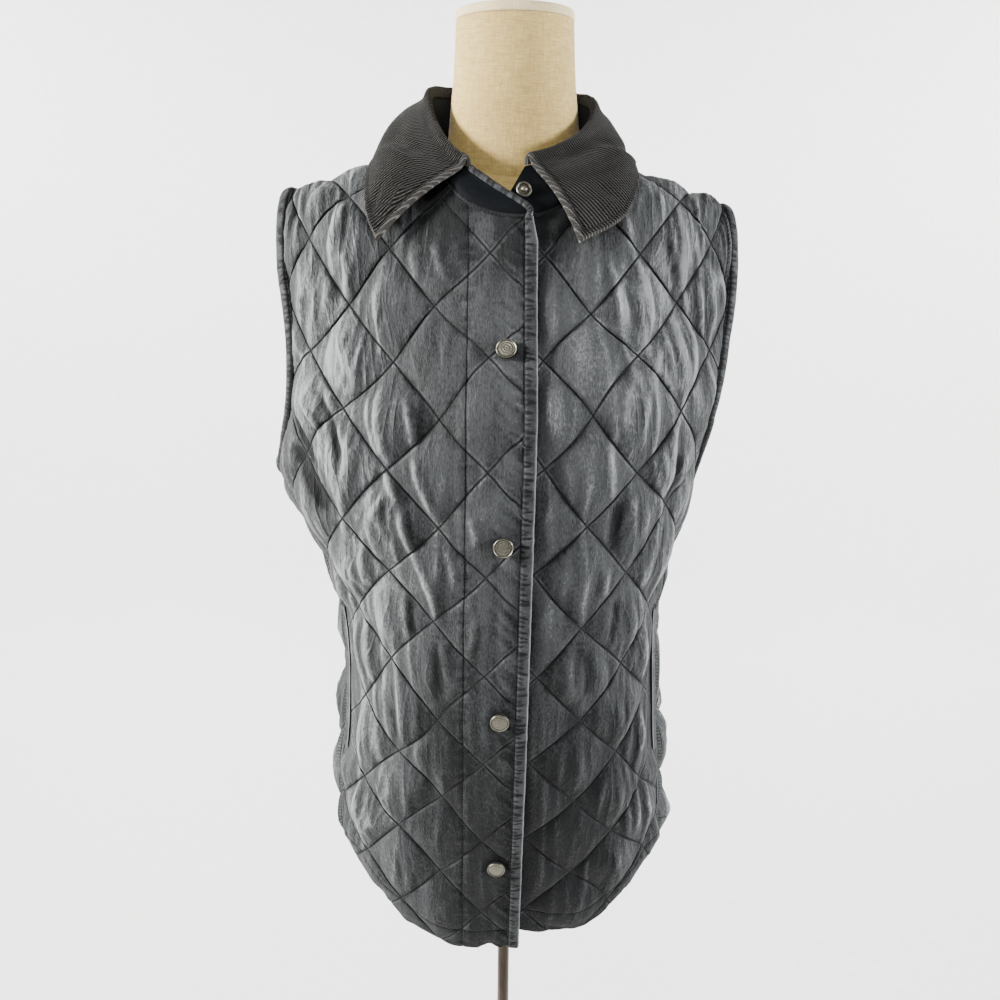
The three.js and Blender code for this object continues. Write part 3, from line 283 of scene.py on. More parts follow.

# Creases of the fronts: from (u0, v0) to (u1, v1), half width and height
CREASES = {
    "front_left": [
        (-140, 655, -145, 605, 3.4, 1.5),
        (-160, 640, -155, 610, 3.2, 1.2),
        (-110, 630, -105, 565, 3.6, 1.6),
        (-85, 660, -80, 635, 3.2, 1.0),
        (-65, 670, -55, 635, 3.6, 1.2),
        (-145, 590, -130, 550, 3.2, 1.3),
        (-185, 620, -195, 585, 3.2, 1.4),
        (-215, 600, -180, 555, 3.4, 1.5),
        (-200, 705, -230, 660, 4.0, 1.3),
        (-165, 710, -190, 670, 4.0, 1.3),
        (-145, 700, -155, 660, 4.0, 1.4),
        (-105, 550, -100, 485, 3.6, 2.2),
        (-85, 540, -80, 495, 3.4, 2.0),
        (-115, 540, -105, 485, 3.4, 2.0),
        (-155, 540, -135, 495, 3.6, 1.7),
        (-180, 530, -160, 495, 3.6, 2.2),
        (-105, 490, -90, 455, 3.6, 2.2),
        (-90, 455, -75, 400, 3.6, 2.2),
        (-80, 500, -60, 440, 3.6, 1.9),
        (-75, 405, -60, 350, 3.6, 2.0),
        (-100, 465, -115, 440, 4.4, 1.6),
        (-140, 465, -145, 420, 4.0, 1.8),
        (-120, 440, -125, 370, 4.0, 1.5),
        (-135, 400, -140, 350, 3.6, 1.4),
        (-135, 340, -130, 285, 3.8, 1.4),
        (-55, 425, -45, 385, 3.4, 1.2),
        (-55, 340, -50, 300, 3.6, 1.3),
        (-80, 235, -75, 185, 4.4, 1.1),
        (-100, 260, -100, 225, 4.4, 1.0),
        (-125, 185, -100, 135, 3.8, 1.3),
        (-150, 155, -130, 105, 3.6, 1.3),
        (-60, 210, -55, 175, 4.4, 1.0),
        (-180, 330, -170, 280, 3.6, 1.3),
        (-170, 245, -150, 205, 3.6, 1.2),
        (-35, 450, -30, 420, 3.4, 1.2),
        (-30, 365, -35, 325, 3.6, 1.2),
        (-25, 500, -25, 470, 4.0, 0.9),
        (-165, 540, -140, 485, 5.5, -3.0),
        (-200, 520, -165, 475, 6.5, -4.2),
        (-200, 490, -160, 440, 8.0, -5.5),
        (-100, 465, -95, 420, 5.0, -1.8),
        (-80, 380, -80, 335, 6.0, -1.6),
        (-60, 335, -60, 280, 7.0, -1.6),
        (-100, 270, -110, 205, 6.0, -1.3),
    ],
    "front_right": [
        (70, 660, 90, 590, 3.6, 1.2),
        (90, 690, 100, 645, 3.6, 1.6),
        (100, 650, 110, 590, 3.6, 1.6),
        (120, 710, 120, 670, 3.6, 1.4),
        (135, 655, 145, 600, 3.6, 1.5),
        (80, 630, 85, 600, 3.4, 1.0),
        (155, 590, 155, 545, 3.6, 1.5),
        (180, 610, 175, 570, 3.4, 1.4),
        (165, 675, 200, 640, 3.6, 1.4),
        (190, 630, 210, 600, 3.4, 1.3),
        (145, 545, 125, 495, 3.8, 1.6),
        (120, 580, 110, 540, 3.8, 1.3),
        (90, 550, 85, 515, 4.0, 1.0),
        (105, 540, 100, 500, 3.8, 1.2),
        (75, 535, 75, 490, 4.0, 1.0),
        (75, 505, 80, 455, 4.0, 1.2),
        (60, 485, 60, 395, 4.6, 1.1),
        (60, 400, 60, 350, 4.6, 1.4),
        (100, 465, 100, 420, 4.0, 1.2),
        (110, 455, 120, 400, 3.8, 1.1),
        (125, 500, 135, 430, 3.6, 1.5),
        (150, 495, 150, 460, 3.6, 1.6),
        (80, 405, 80, 370, 4.2, 1.3),
        (85, 365, 90, 315, 4.0, 1.4),
        (105, 370, 110, 315, 4.0, 1.3),
        (125, 360, 130, 310, 3.8, 1.3),
        (120, 400, 120, 350, 3.6, 1.2),
        (160, 335, 160, 285, 3.6, 1.3),
        (50, 330, 55, 280, 4.6, 1.0),
        (80, 315, 85, 275, 4.2, 0.9),
        (60, 235, 60, 180, 4.6, 1.0),
        (100, 270, 100, 210, 3.8, 1.3),
        (120, 265, 105, 225, 3.6, 1.1),
        (135, 230, 125, 190, 3.6, 1.2),
        (90, 195, 85, 140, 3.8, 1.3),
        (105, 185, 100, 135, 3.8, 1.3),
        (120, 165, 125, 105, 3.8, 1.3),
        (80, 120, 80, 60, 4.2, 1.2),
        (105, 105, 110, 60, 3.8, 1.0),
        (85, 460, 85, 410, 6.5, -2.4),
        (90, 370, 90, 330, 6.5, -2.0),
        (135, 495, 140, 445, 5.5, -2.6),
        (60, 335, 65, 280, 7.0, -1.5),
        (125, 670, 130, 635, 5.0, -1.8),
        (150, 660, 160, 620, 5.0, -1.8),
        (90, 120, 95, 60, 7.0, -1.4),
    ],
}


def smooth(value, low, high):
    share = np.clip((value - low) / (high - low), 0, 1)
    return share * share * (3 - 2 * share)


def mix(a, b, share):
    return a + (b - a) * share


# A table's column at places between its rows, on a smooth curve through them
def column_at(table, key, column, place):
    x = np.array(table[key], float)
    y = np.array(table[column], float)
    slope = np.gradient(y)
    slope[1:-1] = (y[2:] - y[:-2]) / (x[2:] - x[:-2])
    slope[0] = (y[1] - y[0]) / (x[1] - x[0])
    slope[-1] = (y[-1] - y[-2]) / (x[-1] - x[-2])
    at = np.clip(place, x[0], x[-1])
    i = np.clip(np.searchsorted(x, at, side="right") - 1, 0, len(x) - 2)
    step = x[i + 1] - x[i]
    t = (at - x[i]) / step
    ease = t * t * (3 - 2 * t)
    bend = t * (1 - t) * step * ((1 - t) * slope[i] - t * slope[i + 1])
    return y[i] * (1 - ease) + y[i + 1] * ease + bend


# Height of the shoulder ridge over a place across
def ridge_z(x, side):
    sloping = NECK_POINT_Z - RIDGE_SLOPE[side] * (x - NECK_POINT_X)
    level = NECK_POINT_Z + NECK_RISE * (NECK_POINT_X - x * x / NECK_POINT_X)
    return np.where(x > NECK_POINT_X, sloping, level)


# A point on one side of the body, which leans with its height
def placed(across, y, z, side, half):
    risen = np.clip((z - HEM_Z) / (CHEST_Z - HEM_Z), 0, 1)
    lean = LEAN[0] + (LEAN[1] - LEAN[0]) * risen
    sign = -1 if side == "left" else 1
    x = sign * across + lean * (1 - across / half)
    return np.stack(np.broadcast_arrays(x, y, z), -1)


# A point of the ring at height z, at a turn of 0 at the centre front to 180 at the centre back
def ring_point(z, side, turn, body=BODY, column=None):
    half = column_at(body, "z", column or side, z)
    angle = np.radians(turn)
    across = half * np.maximum(np.sin(angle), 0) ** PLAN_POWER
    front = column_at(body, "z", "front", z)
    depth = np.where(turn < 90, front, column_at(body, "z", "back", z))
    return placed(across, -depth * np.cos(angle), z, side, half)


# A point of the chest, rise 0 at the chest level to 1 at the shoulder ridge
def chest_point(across, rise, side, face, chest=CHEST, column=None, drop=0):
    half = column_at(chest, "rise", column or side, rise)
    share = np.minimum(1, across / half) ** (2 / PLAN_POWER)
    depth = column_at(chest, "rise", face, rise)
    depth = depth * np.sqrt(np.maximum(0, 1 - rise**10)) * np.sqrt(1 - share)
    y = RIDGE_Y * rise + (-depth if face == "front" else depth)
    z = CHEST_Z + (ridge_z(across, side) - drop - CHEST_Z) * rise
    return placed(across, y, z, side, half)


# Rise of evenly shared steps, closer together near the ridge
def rise_of(share):
    return 1 - (1 - share) * (1 - share)


# Length from each row's first point to its others
def lengths_along(points):
    steps = np.linalg.norm(np.diff(points, axis=1), axis=2)
    return np.concatenate([np.zeros((len(points), 1)), np.cumsum(steps, 1)], 1)


# Lengths on the cloth along its rings up to the chest, and along its columns above it
RING_Z = np.arange(BODY["z"][0], CHEST_Z + 1, RING_STEP)
RING_TURN = np.linspace(0, 180, 91)
COLUMN_SHARE = np.linspace(0, 1, 61)
HALF = {side: CHEST[side][0] for side in ("left", "right")}
RINGS = {
    side: lengths_along(ring_point(RING_Z[:, None], side, RING_TURN[None, :])) for side in HALF
}
ACROSS = {side: np.linspace(0, HALF[side], COLUMNS + 1) for side in HALF}
CHESTS = {
    (side, face): lengths_along(
        chest_point(ACROSS[side][:, None], rise_of(COLUMN_SHARE)[None, :], side, face)
    )
    for side in HALF
    for face in ("front", "back")
}


# Rows of a table of lengths, blended between its own rows
def rows_between(table, place):
    i = np.clip(np.floor(place).astype(int), 0, len(table) - 2)
    t = (place - i)[:, None]
    return table[i] * (1 - t) + table[i + 1] * t


def ring_rows(side, z):
    return rows_between(RINGS[side], (np.minimum(z, CHEST_Z) - RING_Z[0]) / RING_STEP)


# Share of each row where a length along it is reached
def share_at(rows, length):
    i = np.clip((rows < length[:, None]).sum(1) - 1, 0, rows.shape[1] - 2)
    row = np.arange(len(rows))
    a = rows[row, i]
    b = rows[row, i + 1]
    return np.clip((i + (length - a) / (b - a)) / (rows.shape[1] - 1), 0, 1)


# Length along each row at a share of it
def length_at(rows, share):
    place = np.clip(share, 0, 1) * (rows.shape[1] - 1)
    i = np.minimum(np.floor(place).astype(int), rows.shape[1] - 2)
    row = np.arange(len(rows))
    t = place - i
    return rows[row, i] * (1 - t) + rows[row, i + 1] * t


# Points of the cloth from its own measures: u from the centre, v up from the hem line
def cloth_point(face, u, v):
    u, v = (np.asarray(a, float).ravel() for a in np.broadcast_arrays(u, v))
    points = np.zeros((len(u), 3))
    for side in ("left", "right"):
        on = (u < 0) == (side == "left") if face == "front" else (u >= 0) == (side == "left")
        if not on.any():
            continue
        z = np.minimum(HEM_Z + v[on], CHEST_Z)
        rows = ring_rows(side, z)
        start = np.abs(u[on])
        start = start if face == "front" else rows[:, -1] - start
        turn = 180 * share_at(rows, start)
        point = ring_point(z, side, turn)
        high = HEM_Z + v[on] > CHEST_Z
        if high.any():
            across = HALF[side] * np.sin(np.radians(turn[high])) ** PLAN_POWER
            columns = rows_between(CHESTS[side, face], across / HALF[side] * COLUMNS)
            share = share_at(columns, HEM_Z + v[on][high] - CHEST_Z)
            point[high] = chest_point(across, rise_of(share), side, face)
        points[on] = point
    return points


def unit(vectors):
    return vectors / np.maximum(np.linalg.norm(vectors, axis=-1, keepdims=True), 1e-9)


def cloth_normal(face, u, v):
    step = 0.6
    along = cloth_point(face, u + step, v) - cloth_point(face, u - step, v)
    up = cloth_point(face, u, v) - cloth_point(face, u, v - 2 * step)
    return unit(np.cross(along, up))


# Fabric measures of a chest point given by its distance from the centre and its rise
def measures_at(face, side, across, rise):
    across, rise = (np.atleast_1d(np.asarray(a, float)) for a in np.broadcast_arrays(across, rise))
    turn = np.degrees(np.arcsin(np.minimum(1, across / HALF[side]) ** (1 / PLAN_POWER)))
    rows = ring_rows(side, np.full(len(across), float(CHEST_Z)))
    ring = length_at(rows, (turn if face == "front" else 180 - turn) / 180)
    u = ring if face == "front" else rows[:, -1] - ring
    columns = rows_between(CHESTS[side, face], across / HALF[side] * COLUMNS)
    v = CHEST_Z - HEM_Z + length_at(columns, 1 - np.sqrt(1 - rise))
    return u, v


# Sign of u on one side of a face
def sign_of(face, side):
    return -1 if (face == "front") == (side == "left") else 1


# Distance from the centre to the side seam, along the cloth
def seam_width(face, side, z):
    z = np.atleast_1d(np.asarray(z, float))
    rows = ring_rows(side, z)
    front = length_at(rows, np.full(len(z), SEAM_TURN / 180))
    return (front if face == "front" else rows[:, -1] - front) - SEAM_GAP / 2


def hem_edge(face, side, start, raised):
    share = np.linspace(0, 1, 60)
    sign = sign_of(face, side)
    end = sign * seam_width(face, side, HEM_Z + HEM_CURVE[face][-1])[0]
    u = start + (end - start) * share
    at = np.abs(u) / seam_width(face, side, HEM_Z)[0]
    v = column_at(HEM_CURVE, "share", face, at) + raised * (1 - share)
    return np.stack([u, v], 1)


def seam_edge(face, side):
    z = np.linspace(HEM_Z + HEM_CURVE[face][-1], ARMHOLE_UNDER[side][0], 60)[1:-1]
    return np.stack([sign_of(face, side) * seam_width(face, side, z), z - HEM_Z], 1)


# A smooth curve through knots
def spline(knots, count):
    knots = np.asarray(knots, float)
    t = np.linspace(0, len(knots) - 1, count + 1)
    i = np.minimum(np.floor(t).astype(int), len(knots) - 2)
    w = (t - i)[:, None]
    p0 = knots[np.maximum(i - 1, 0)]
    p1 = knots[i]
    p2 = knots[i + 1]
    p3 = knots[np.minimum(i + 2, len(knots) - 1)]
    v0 = (p2 - p0) / 2
    v1 = (p3 - p1) / 2
    return (2 * p1 - 2 * p2 + v0 + v1) * w**3 + (-3 * p1 + 3 * p2 - 2 * v0 - v1) * w**2 + v0 * w + p1


def armhole_edge(face, side, count):
    knots = []
    rows = 1 if face == "front" else len(ARMHOLE_UNDER["turn"])
    for i in range(rows):
        turn = ARMHOLE_UNDER["turn"][i]
        z = np.array([float(ARMHOLE_UNDER[side][i])])
        ring = ring_rows(side, z)
        length = length_at(ring, np.array([turn / 180]))
        u = (length if face == "front" else ring[:, -1] - length)[0]
        knots.append([u - SEAM_GAP / 2 if turn == SEAM_TURN else u, z[0] - HEM_Z])
    for z, across in zip(ARMHOLE_SIDE["z"], ARMHOLE_SIDE[side]):
        rise = (z - CHEST_Z) / (ridge_z(across, side) - CHEST_Z)
        u, v = measures_at(face, side, across, rise)
        knots.append([u[0], v[0]])
    u, v = measures_at(face, side, ARMHOLE_TIP[side], 1)
    knots.append([u[0], v[0] - SHOULDER_GAP])
    edge = spline(knots, count)
    edge[:, 0] *= sign_of(face, side)
    return edge


def neckline_measures(face, side, turn):
    turn = np.atleast_1d(np.asarray(turn, float))
    over = turn < 0
    rise = 1 - (1 - NECKLINE[face]) * np.cos(turn)
    across = NECK_POINT_X * np.sin(np.abs(turn))
    u, v = measures_at(face, side, across, rise)
    other = "right" if side == "left" else "left"
    u2, v2 = measures_at(face, other, across, rise)
    u = np.where(over, sign_of(face, other) * u2, sign_of(face, side) * u)
    return u, np.where(over, v2, v)


def shoulder_and_neckline(face, side):
    across = np.linspace(ARMHOLE_TIP[side], NECK_POINT_X, 30)[1:]
    u, v = measures_at(face, side, across, np.ones(len(across)))
    shoulder = np.stack([sign_of(face, side) * u, v - SHOULDER_GAP], 1)
    u, v = neckline_measures(face, side, (math.pi / 2) * (1 - np.linspace(0, 1, 30)[1:]))
    return np.concatenate([shoulder, np.stack([u, v], 1)])


def centre_edge(edge, raised):
    top = neckline_measures("front", "left", 0)[1][0]
    share = np.linspace(0, 1, 31)
    return np.stack([edge + CENTRE_BOW * np.sin(np.pi * share), mix(top, raised, share)], 1)


def front_outline(side, edge, raised):
    return np.concatenate([
        hem_edge("front", side, edge, raised)[1:],
        seam_edge("front", side),
        armhole_edge("front", side, 90),
        shoulder_and_neckline("front", side)[:-1],
        centre_edge(edge, raised),
    ])


def back_outline():
    half = [
        np.concatenate([
            hem_edge("back", side, 0, 0),
            seam_edge("back", side),
            armhole_edge("back", side, 120),
            shoulder_and_neckline("back", side),
        ])
        for side in ("left", "right")
    ]
    return np.concatenate([half[0][1:], half[1][::-1][:-1]])


# Value noise between 0 and 1, seeded, smooth and repeating after 256 cells
def noise(x, y, seed):
    table = np.random.RandomState(seed).rand(256, 256)
    i, j = np.floor(x).astype(int), np.floor(y).astype(int)
    s, t = smooth(x - i, 0, 1), smooth(y - j, 0, 1)
    a, b = table[j % 256, i % 256], table[j % 256, (i + 1) % 256]
    c, d = table[(j + 1) % 256, i % 256], table[(j + 1) % 256, (i + 1) % 256]
    return mix(mix(a, b, s), mix(c, d, s), t)


# Noise with sharp ridges at 1
def ridged(x, y, seed):
    return 1 - 2 * np.abs(noise(x, y, seed) - 0.5)


# Signed distance to an outline, positive inside, and the nearest point on it
def near_outline(outline, points):
    start, end = outline, np.roll(outline, -1, 0)
    along = end - start
    square = np.maximum((along**2).sum(1), 1e-12)
    distance = np.zeros(len(points))
    nearest = np.zeros((len(points), 2))
    for low in range(0, len(points), 6000):
        p = points[low : low + 6000, None, :]
        t = np.clip(((p - start) * along).sum(2) / square, 0, 1)
        on = start + t[..., None] * along
        gap = ((p - on) ** 2).sum(2)
        k = gap.argmin(1)
        row = np.arange(len(k))
        above = (start[:, 1] > p[..., 1]) != (end[:, 1] > p[..., 1])
        rise = np.where(np.abs(along[:, 1]) < 1e-12, 1e-12, along[:, 1])
        cross = start[:, 0] + (p[..., 1] - start[:, 1]) * along[:, 0] / rise
        inside = (above & (p[..., 0] < cross)).sum(1) % 2 == 1
        distance[low : low + 6000] = np.sqrt(gap[row, k]) * np.where(inside, 1, -1)
        nearest[low : low + 6000] = on[row, k]
    return distance, nearest


# Rows, columns and points of a fine grid over an outline, aligned with the stitch lines
def grid_over(outline, mirror, step):
    origin = np.array([mirror * LATTICE_U, LATTICE_V], float)
    first = np.floor((outline.min(0) - origin) / step).astype(int) - 1
    last = np.ceil((outline.max(0) - origin) / step).astype(int) + 1
    i = np.arange(first[0], last[0] + 1)
    j = np.arange(first[1], last[1] + 1)
    grid = np.stack(np.meshgrid(origin[0] + i * step[0], origin[1] + j * step[1]), -1)
    return i, j, grid.reshape(-1, 2)


# Cells that are split along their rising diagonal, as the stitch lines run there
def rising_cells(i, j, mirror, parts):
    cell = np.floor_divide(i if mirror > 0 else -i - 1, parts)
    even = (np.floor_divide(j, parts)[:, None] - cell[None, :]) % 2 == 0
    return even if mirror > 0 else ~even


# The part of a cell that lies inside the outline
def clipped(loop, inset, cut):
    shape = []
    for here, after in zip(loop, loop[1:] + loop[:1]):
        if inset[here] >= 0:
            shape.append(here)
        if (inset[here] >= 0) != (inset[after] >= 0):
            shape.append(cut(here, after))
    return list(dict.fromkeys(shape))


# A fine grid over a panel, with its edge points moved onto the outline and its cells cut there
def cut_grid(outline, mirror, parts):
    step = np.array([CELL_U / parts, CELL_V / parts])
    i, j, points = grid_over(outline, mirror, step)
    inset, nearest = near_outline(outline, points)
    snapped = np.abs(inset) < 0.3 * step[0]
    points = np.where(snapped[:, None], nearest, points)
    inset = np.where(snapped, 0, inset)
    columns = len(i)
    rising = rising_cells(i, j, mirror, parts)
    extra, cuts, faces = [], {}, []

    # The point where a cell's edge crosses the outline
    def cut(a, b):
        near, far = (a, b) if inset[a] >= 0 else (b, a)
        if inset[near] == 0:
            return near
        if (near, far) not in cuts:
            share = inset[near] / (inset[near] - inset[far])
            cuts[near, far] = len(points) + len(extra)
            extra.append(mix(points[near], points[far], share))
        return cuts[near, far]

    kept = inset.reshape(len(j), columns) >= 0
    corners = kept[:-1, :-1].astype(int) + kept[:-1, 1:] + kept[1:, 1:] + kept[1:, :-1]
    for r, c in zip(*np.nonzero(corners)):
        a = r * columns + c
        loop = [a, a + 1, a + columns + 1, a + columns]
        if corners[r, c] == 4:
            if not rising[r, c]:
                loop = loop[1:] + loop[:1]
            faces.append((loop[0], loop[1], loop[2]))
            faces.append((loop[0], loop[2], loop[3]))
        elif max(inset[k] for k in loop) > 0:
            shape = clipped(loop, inset, cut)
            if len(shape) > 2:
                faces.append(tuple(shape))
    points = np.concatenate([points, np.array(extra).reshape(-1, 2)])
    inset = np.concatenate([inset, np.zeros(len(extra))])
    used = sorted({k for face in faces for k in face})
    place = {k: n for n, k in enumerate(used)}
    faces = [tuple(place[k] for k in face) for face in faces]
    return points[used], inset[used], faces


# A closed shell from a sheet's faces and the two layers of its points
def shell_faces(faces, count):
    edges = {(a, b) for face in faces for a, b in zip(face, face[1:] + face[:1])}
    rim = [(a, b) for a, b in edges if (b, a) not in edges]
    inner = [tuple(k + count for k in reversed(face)) for face in faces]
    sides = [(b, a, a + count, b + count) for a, b in sorted(rim)]
    return faces + inner + sides


# A mesh object in the shared frame, with values per point and a map of fabric measures
def piece(name, points, faces, material, nodes, values=None, measures=None, sharp=50):
    mesh = bpy.data.meshes.new(name)
    mesh.from_pydata((np.asarray(points) * MM).tolist(), [], faces)
    mesh.shade_smooth()
    mesh.set_sharp_from_angle(angle=math.radians(sharp))
    for key, value in (values or {}).items():
        attribute = mesh.attributes.new(key, "FLOAT", "POINT")
        attribute.data.foreach_set("value", np.asarray(value, np.float32))
    if measures is not None:
        corners = np.zeros(len(mesh.loops), np.int32)
        mesh.loops.foreach_get("vertex_index", corners)
        layer = mesh.uv_layers.new(name="cloth")
        layer.data.foreach_set("uv", np.asarray(measures, np.float32)[corners].ravel())
    mesh.materials.append(material)
    made = bpy.data.objects.new(name, mesh)
    bpy.context.scene.collection.objects.link(made)
    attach(made, "root")
    if nodes:
        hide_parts(*nodes)
    return made


# Share of the padding left under the pocket welts
def pocket_relief(side, u, v):
    z = HEM_Z + v
    near = (z > POCKET["bottom"] - CELL_V) & (z < POCKET["top"] + CELL_V)
    inner = seam_width("front", side, np.clip(z, RING_Z[0], CHEST_Z)) - POCKET["width"] - 1.2 * CELL_U
    flat = smooth(np.abs(u), inner - 8, inner + 4)
    ends = smooth(z, POCKET["bottom"] - CELL_V, POCKET["bottom"]) * (
        1 - smooth(z, POCKET["top"], POCKET["top"] + CELL_V)
    )
    return np.where(near, 1 - flat * ends, 1)


def left_relief(u, v):
    placket = mix(1, PLACKET["relief"], smooth(u, PLACKET["blend"], PLACKET["stitch"]))
    return placket * pocket_relief("left", u, v)


def right_relief(u, v):
    return smooth(u, UNDERLAP["flat"], UNDERLAP["full"]) * pocket_relief("right", u, v)


def left_lift(u):
    return PLACKET["lift"] * smooth(u, PLACKET["blend"], PLACKET["stitch"])


def full_relief(u, v):
    return 1 + 0 * u


def no_lift(u):
    return 0 * u


# The quilted panels: the side they are on, way of the lattice, fineness, and side of steep creases
PANELS = {
    "front_left": {
        "face": "front", "mirror": -1, "parts": 11, "seed": 3, "steep": 1,
        "outline": front_outline("left", PLACKET["edge"], 0),
        "lift": left_lift, "relief": left_relief,
    },
    "front_right": {
        "face": "front", "mirror": 1, "parts": 11, "seed": 5, "steep": -1,
        "outline": front_outline("right", UNDERLAP["edge"], UNDERLAP["shorter"]),
        "lift": no_lift, "relief": right_relief,
    },
    "back": {
        "face": "back", "mirror": 1, "parts": 7, "seed": 9, "steep": 1,
        "outline": back_outline(),
        "lift": no_lift, "relief": full_relief,
    },
}


# Creases of the back, like those of the fronts, drawn at random with a fixed seed
def back_creases():
    draw = np.random.RandomState(SEEDS["back_creases"])
    rows = []
    for _ in range(96):
        u = draw.uniform(-230, 230)
        v = draw.uniform(60, 690)
        if abs(u) < 40 and draw.rand() < 0.5:
            continue
        long = draw.uniform(28, 78)
        slant = draw.uniform(-0.2, 0.2) + 0.25 * np.sign(u) * smooth(v, 620, 480)
        trough = draw.rand() < 0.2
        wide = draw.uniform(5, 7) if trough else draw.uniform(3.4, 4.6)
        high = draw.uniform(-2.4, -1.2) if trough else draw.uniform(0.9, 1.9)
        rows.append((u, v, u + slant * long, v - long, wide, high))
    return rows


CREASES["back"] = back_creases()


# Height of creases from a table, steep on their left, or right where steep is -1, and their tone: paler on
# the crest as wear and painted highlight, darker on the gentle flank and along troughs as painted shade
def creases(rows, u, v, steep=1):
    height = np.zeros(len(u))
    rubbed_and_painted_light = np.zeros(len(u))
    for u0, v0, u1, v1, wide, high in rows:
        reach = 5 * wide
        near = (u > min(u0, u1) - reach) & (u < max(u0, u1) + reach)
        near &= (v > min(v0, v1) - reach) & (v < max(v0, v1) + reach)
        du, dv = u1 - u0, v1 - v0
        long = math.hypot(du, dv)
        share = ((u[near] - u0) * du + (v[near] - v0) * dv) / long**2
        side = ((u[near] - u0) * dv - (v[near] - v0) * du) / long
        bow = 0.05 * long * np.sin(np.pi * np.clip(share, 0, 1)) * (1 if (u0 + v0) % 4 < 2 else -1)
        taper = smooth(share, -0.08, 0.3) * (1 - smooth(share, 0.7, 1.08))
        away = steep * (side - bow)
        if high > 0:
            profile = np.exp(-np.hypot(away, 0.5) / np.where(away > 0, 0.8, 1.7) / wide)
            # Paler just off the crest on its steep side, partly wear and partly painted highlight; painted
            # shade on the gentle flank
            pale = np.exp(-np.abs(away - 1) / 1.8)
            shaded_flank = np.exp(-(((away + 1.7 * wide) / (1.3 * wide)) ** 2))
            rubbed_and_painted_light[near] += high * taper * (pale - 0.5 * shaded_flank)
        else:
            profile = np.exp(-((away / (0.8 * wide)) ** 2))
            # Troughs are darkened as painted shade
            rubbed_and_painted_light[near] += high * (0.4 + 0.24 * abs(high)) * taper * profile
        height[near] += high * taper * profile
    return height, rubbed_and_painted_light


# Distances to the nearest stitch line of each way, places along them, and share of full padding
def lattice(panel, u, v):
    k = (panel["mirror"] * u - LATTICE_U) / CELL_U
    j = (v - LATTICE_V) / CELL_V
    diagonal = math.hypot(CELL_U, CELL_V)
    lines = [(j - k) / LINE_CELLS, (j + k) / LINE_CELLS]
    distances = [np.abs(line - np.round(line)) * LINE_GAP for line in lines]
    puff = np.abs(np.sin(np.pi * lines[0]) * np.sin(np.pi * lines[1]))
    return distances, [(j + k) / 2 * diagonal, (j - k) / 2 * diagonal], puff


# Places on the cloth of points of the lattice, whose lines wander a little
def wandered(name, panel, u, v, inset):
    calm = smooth(inset, 0, 34)
    if name == "front_left":
        calm = calm * smooth(np.abs(u - SNAP["across"]), 14, 48)
    rows = [2 * noise(u / 75, v / 62, panel["seed"] + step) - 1 for step in (11, 12)]
    return u + WANDER * rows[0] * calm, v + WANDER * rows[1] * calm


# Painted light and shade on the cloth: patches from the table, and the painted shadow under the collar
def painted_light_and_shade(name, points, u, v):
    line = neckline_station(np.linspace(0, 1, 80))[0]
    away = np.min([np.linalg.norm(points - place, axis=1) for place in line], 0)
    total = -COLLAR_SHADE["amount"] * (1 - smooth(away, 0, COLLAR_SHADE["reach"]))
    for u0, v0, wide, high, amount in LIGHT_AND_SHADE_PATCHES[name]:
        total = total + amount * np.exp(-(((u - u0) / wide) ** 2) - ((v - v0) / high) ** 2)
    return total


# Streaks down the cloth: their height, the wear of their crests, and how loose the cloth is
def streaks(seed, u, v, puff, relief, calm):
    rise = 1 + STREAK["rise"] * np.exp(-(((v - STREAK["level"]) / STREAK["reach"]) ** 2))
    spread = np.abs(u) / rise + 3.5 * noise(u / 60, v / 50, seed + 1)
    sides = 0.4 + 0.75 * smooth(np.abs(u), 50, 150)
    fine = ridged(spread / 6.5, v / 52, seed + 2) ** 2
    broad = ridged(spread / 14, v / 85, seed + 3) ** 1.5
    envelope = 0.3 + 0.7 * puff**0.5
    loose = sides * envelope * mix(0.4, 1, relief) * calm
    crest = (0.5 * fine**2 + 0.9 * broad**3) * sides * envelope
    return (1.4 * fine + 3.0 * broad - 1.4) * loose, crest, loose


# Short puckers that run away from the stitch lines of the lattice
def line_puckers(seed, distances, places):
    total = 0
    for distance, place, extra in zip(distances, places, (4, 5)):
        wave = ridged(place / 5.5, distance / 30, seed + extra) - 0.5
        near = np.exp(-((distance / 5) ** 2)) * (1 - np.exp(-((distance / 1.2) ** 2)))
        total = total + 0.9 * wave * near
    return total


# Puckers along the panel's edge, and on the left front beside the placket's stitches and edge
def edge_puckers(name, seed, u, v, inset):
    rows = [(np.maximum(inset, 0), v + 0.35 * u, 9, 0.9)]
    if name == "front_left":
        rows.append((np.abs(PLACKET["stitch"] - u), v, 8, 1.5))
        rows.append((np.maximum(PLACKET["edge"] - u, 0), v + 0.9 * u, 15, 1.7))
    total = 0
    for step, (distance, place, reach, deep) in enumerate(rows):
        wave = ridged(place / 6.5, distance / 26, seed + 6 + step) ** 1.5 - 0.35
        total = total + deep * wave * np.exp(-((distance / reach) ** 2))
    return total


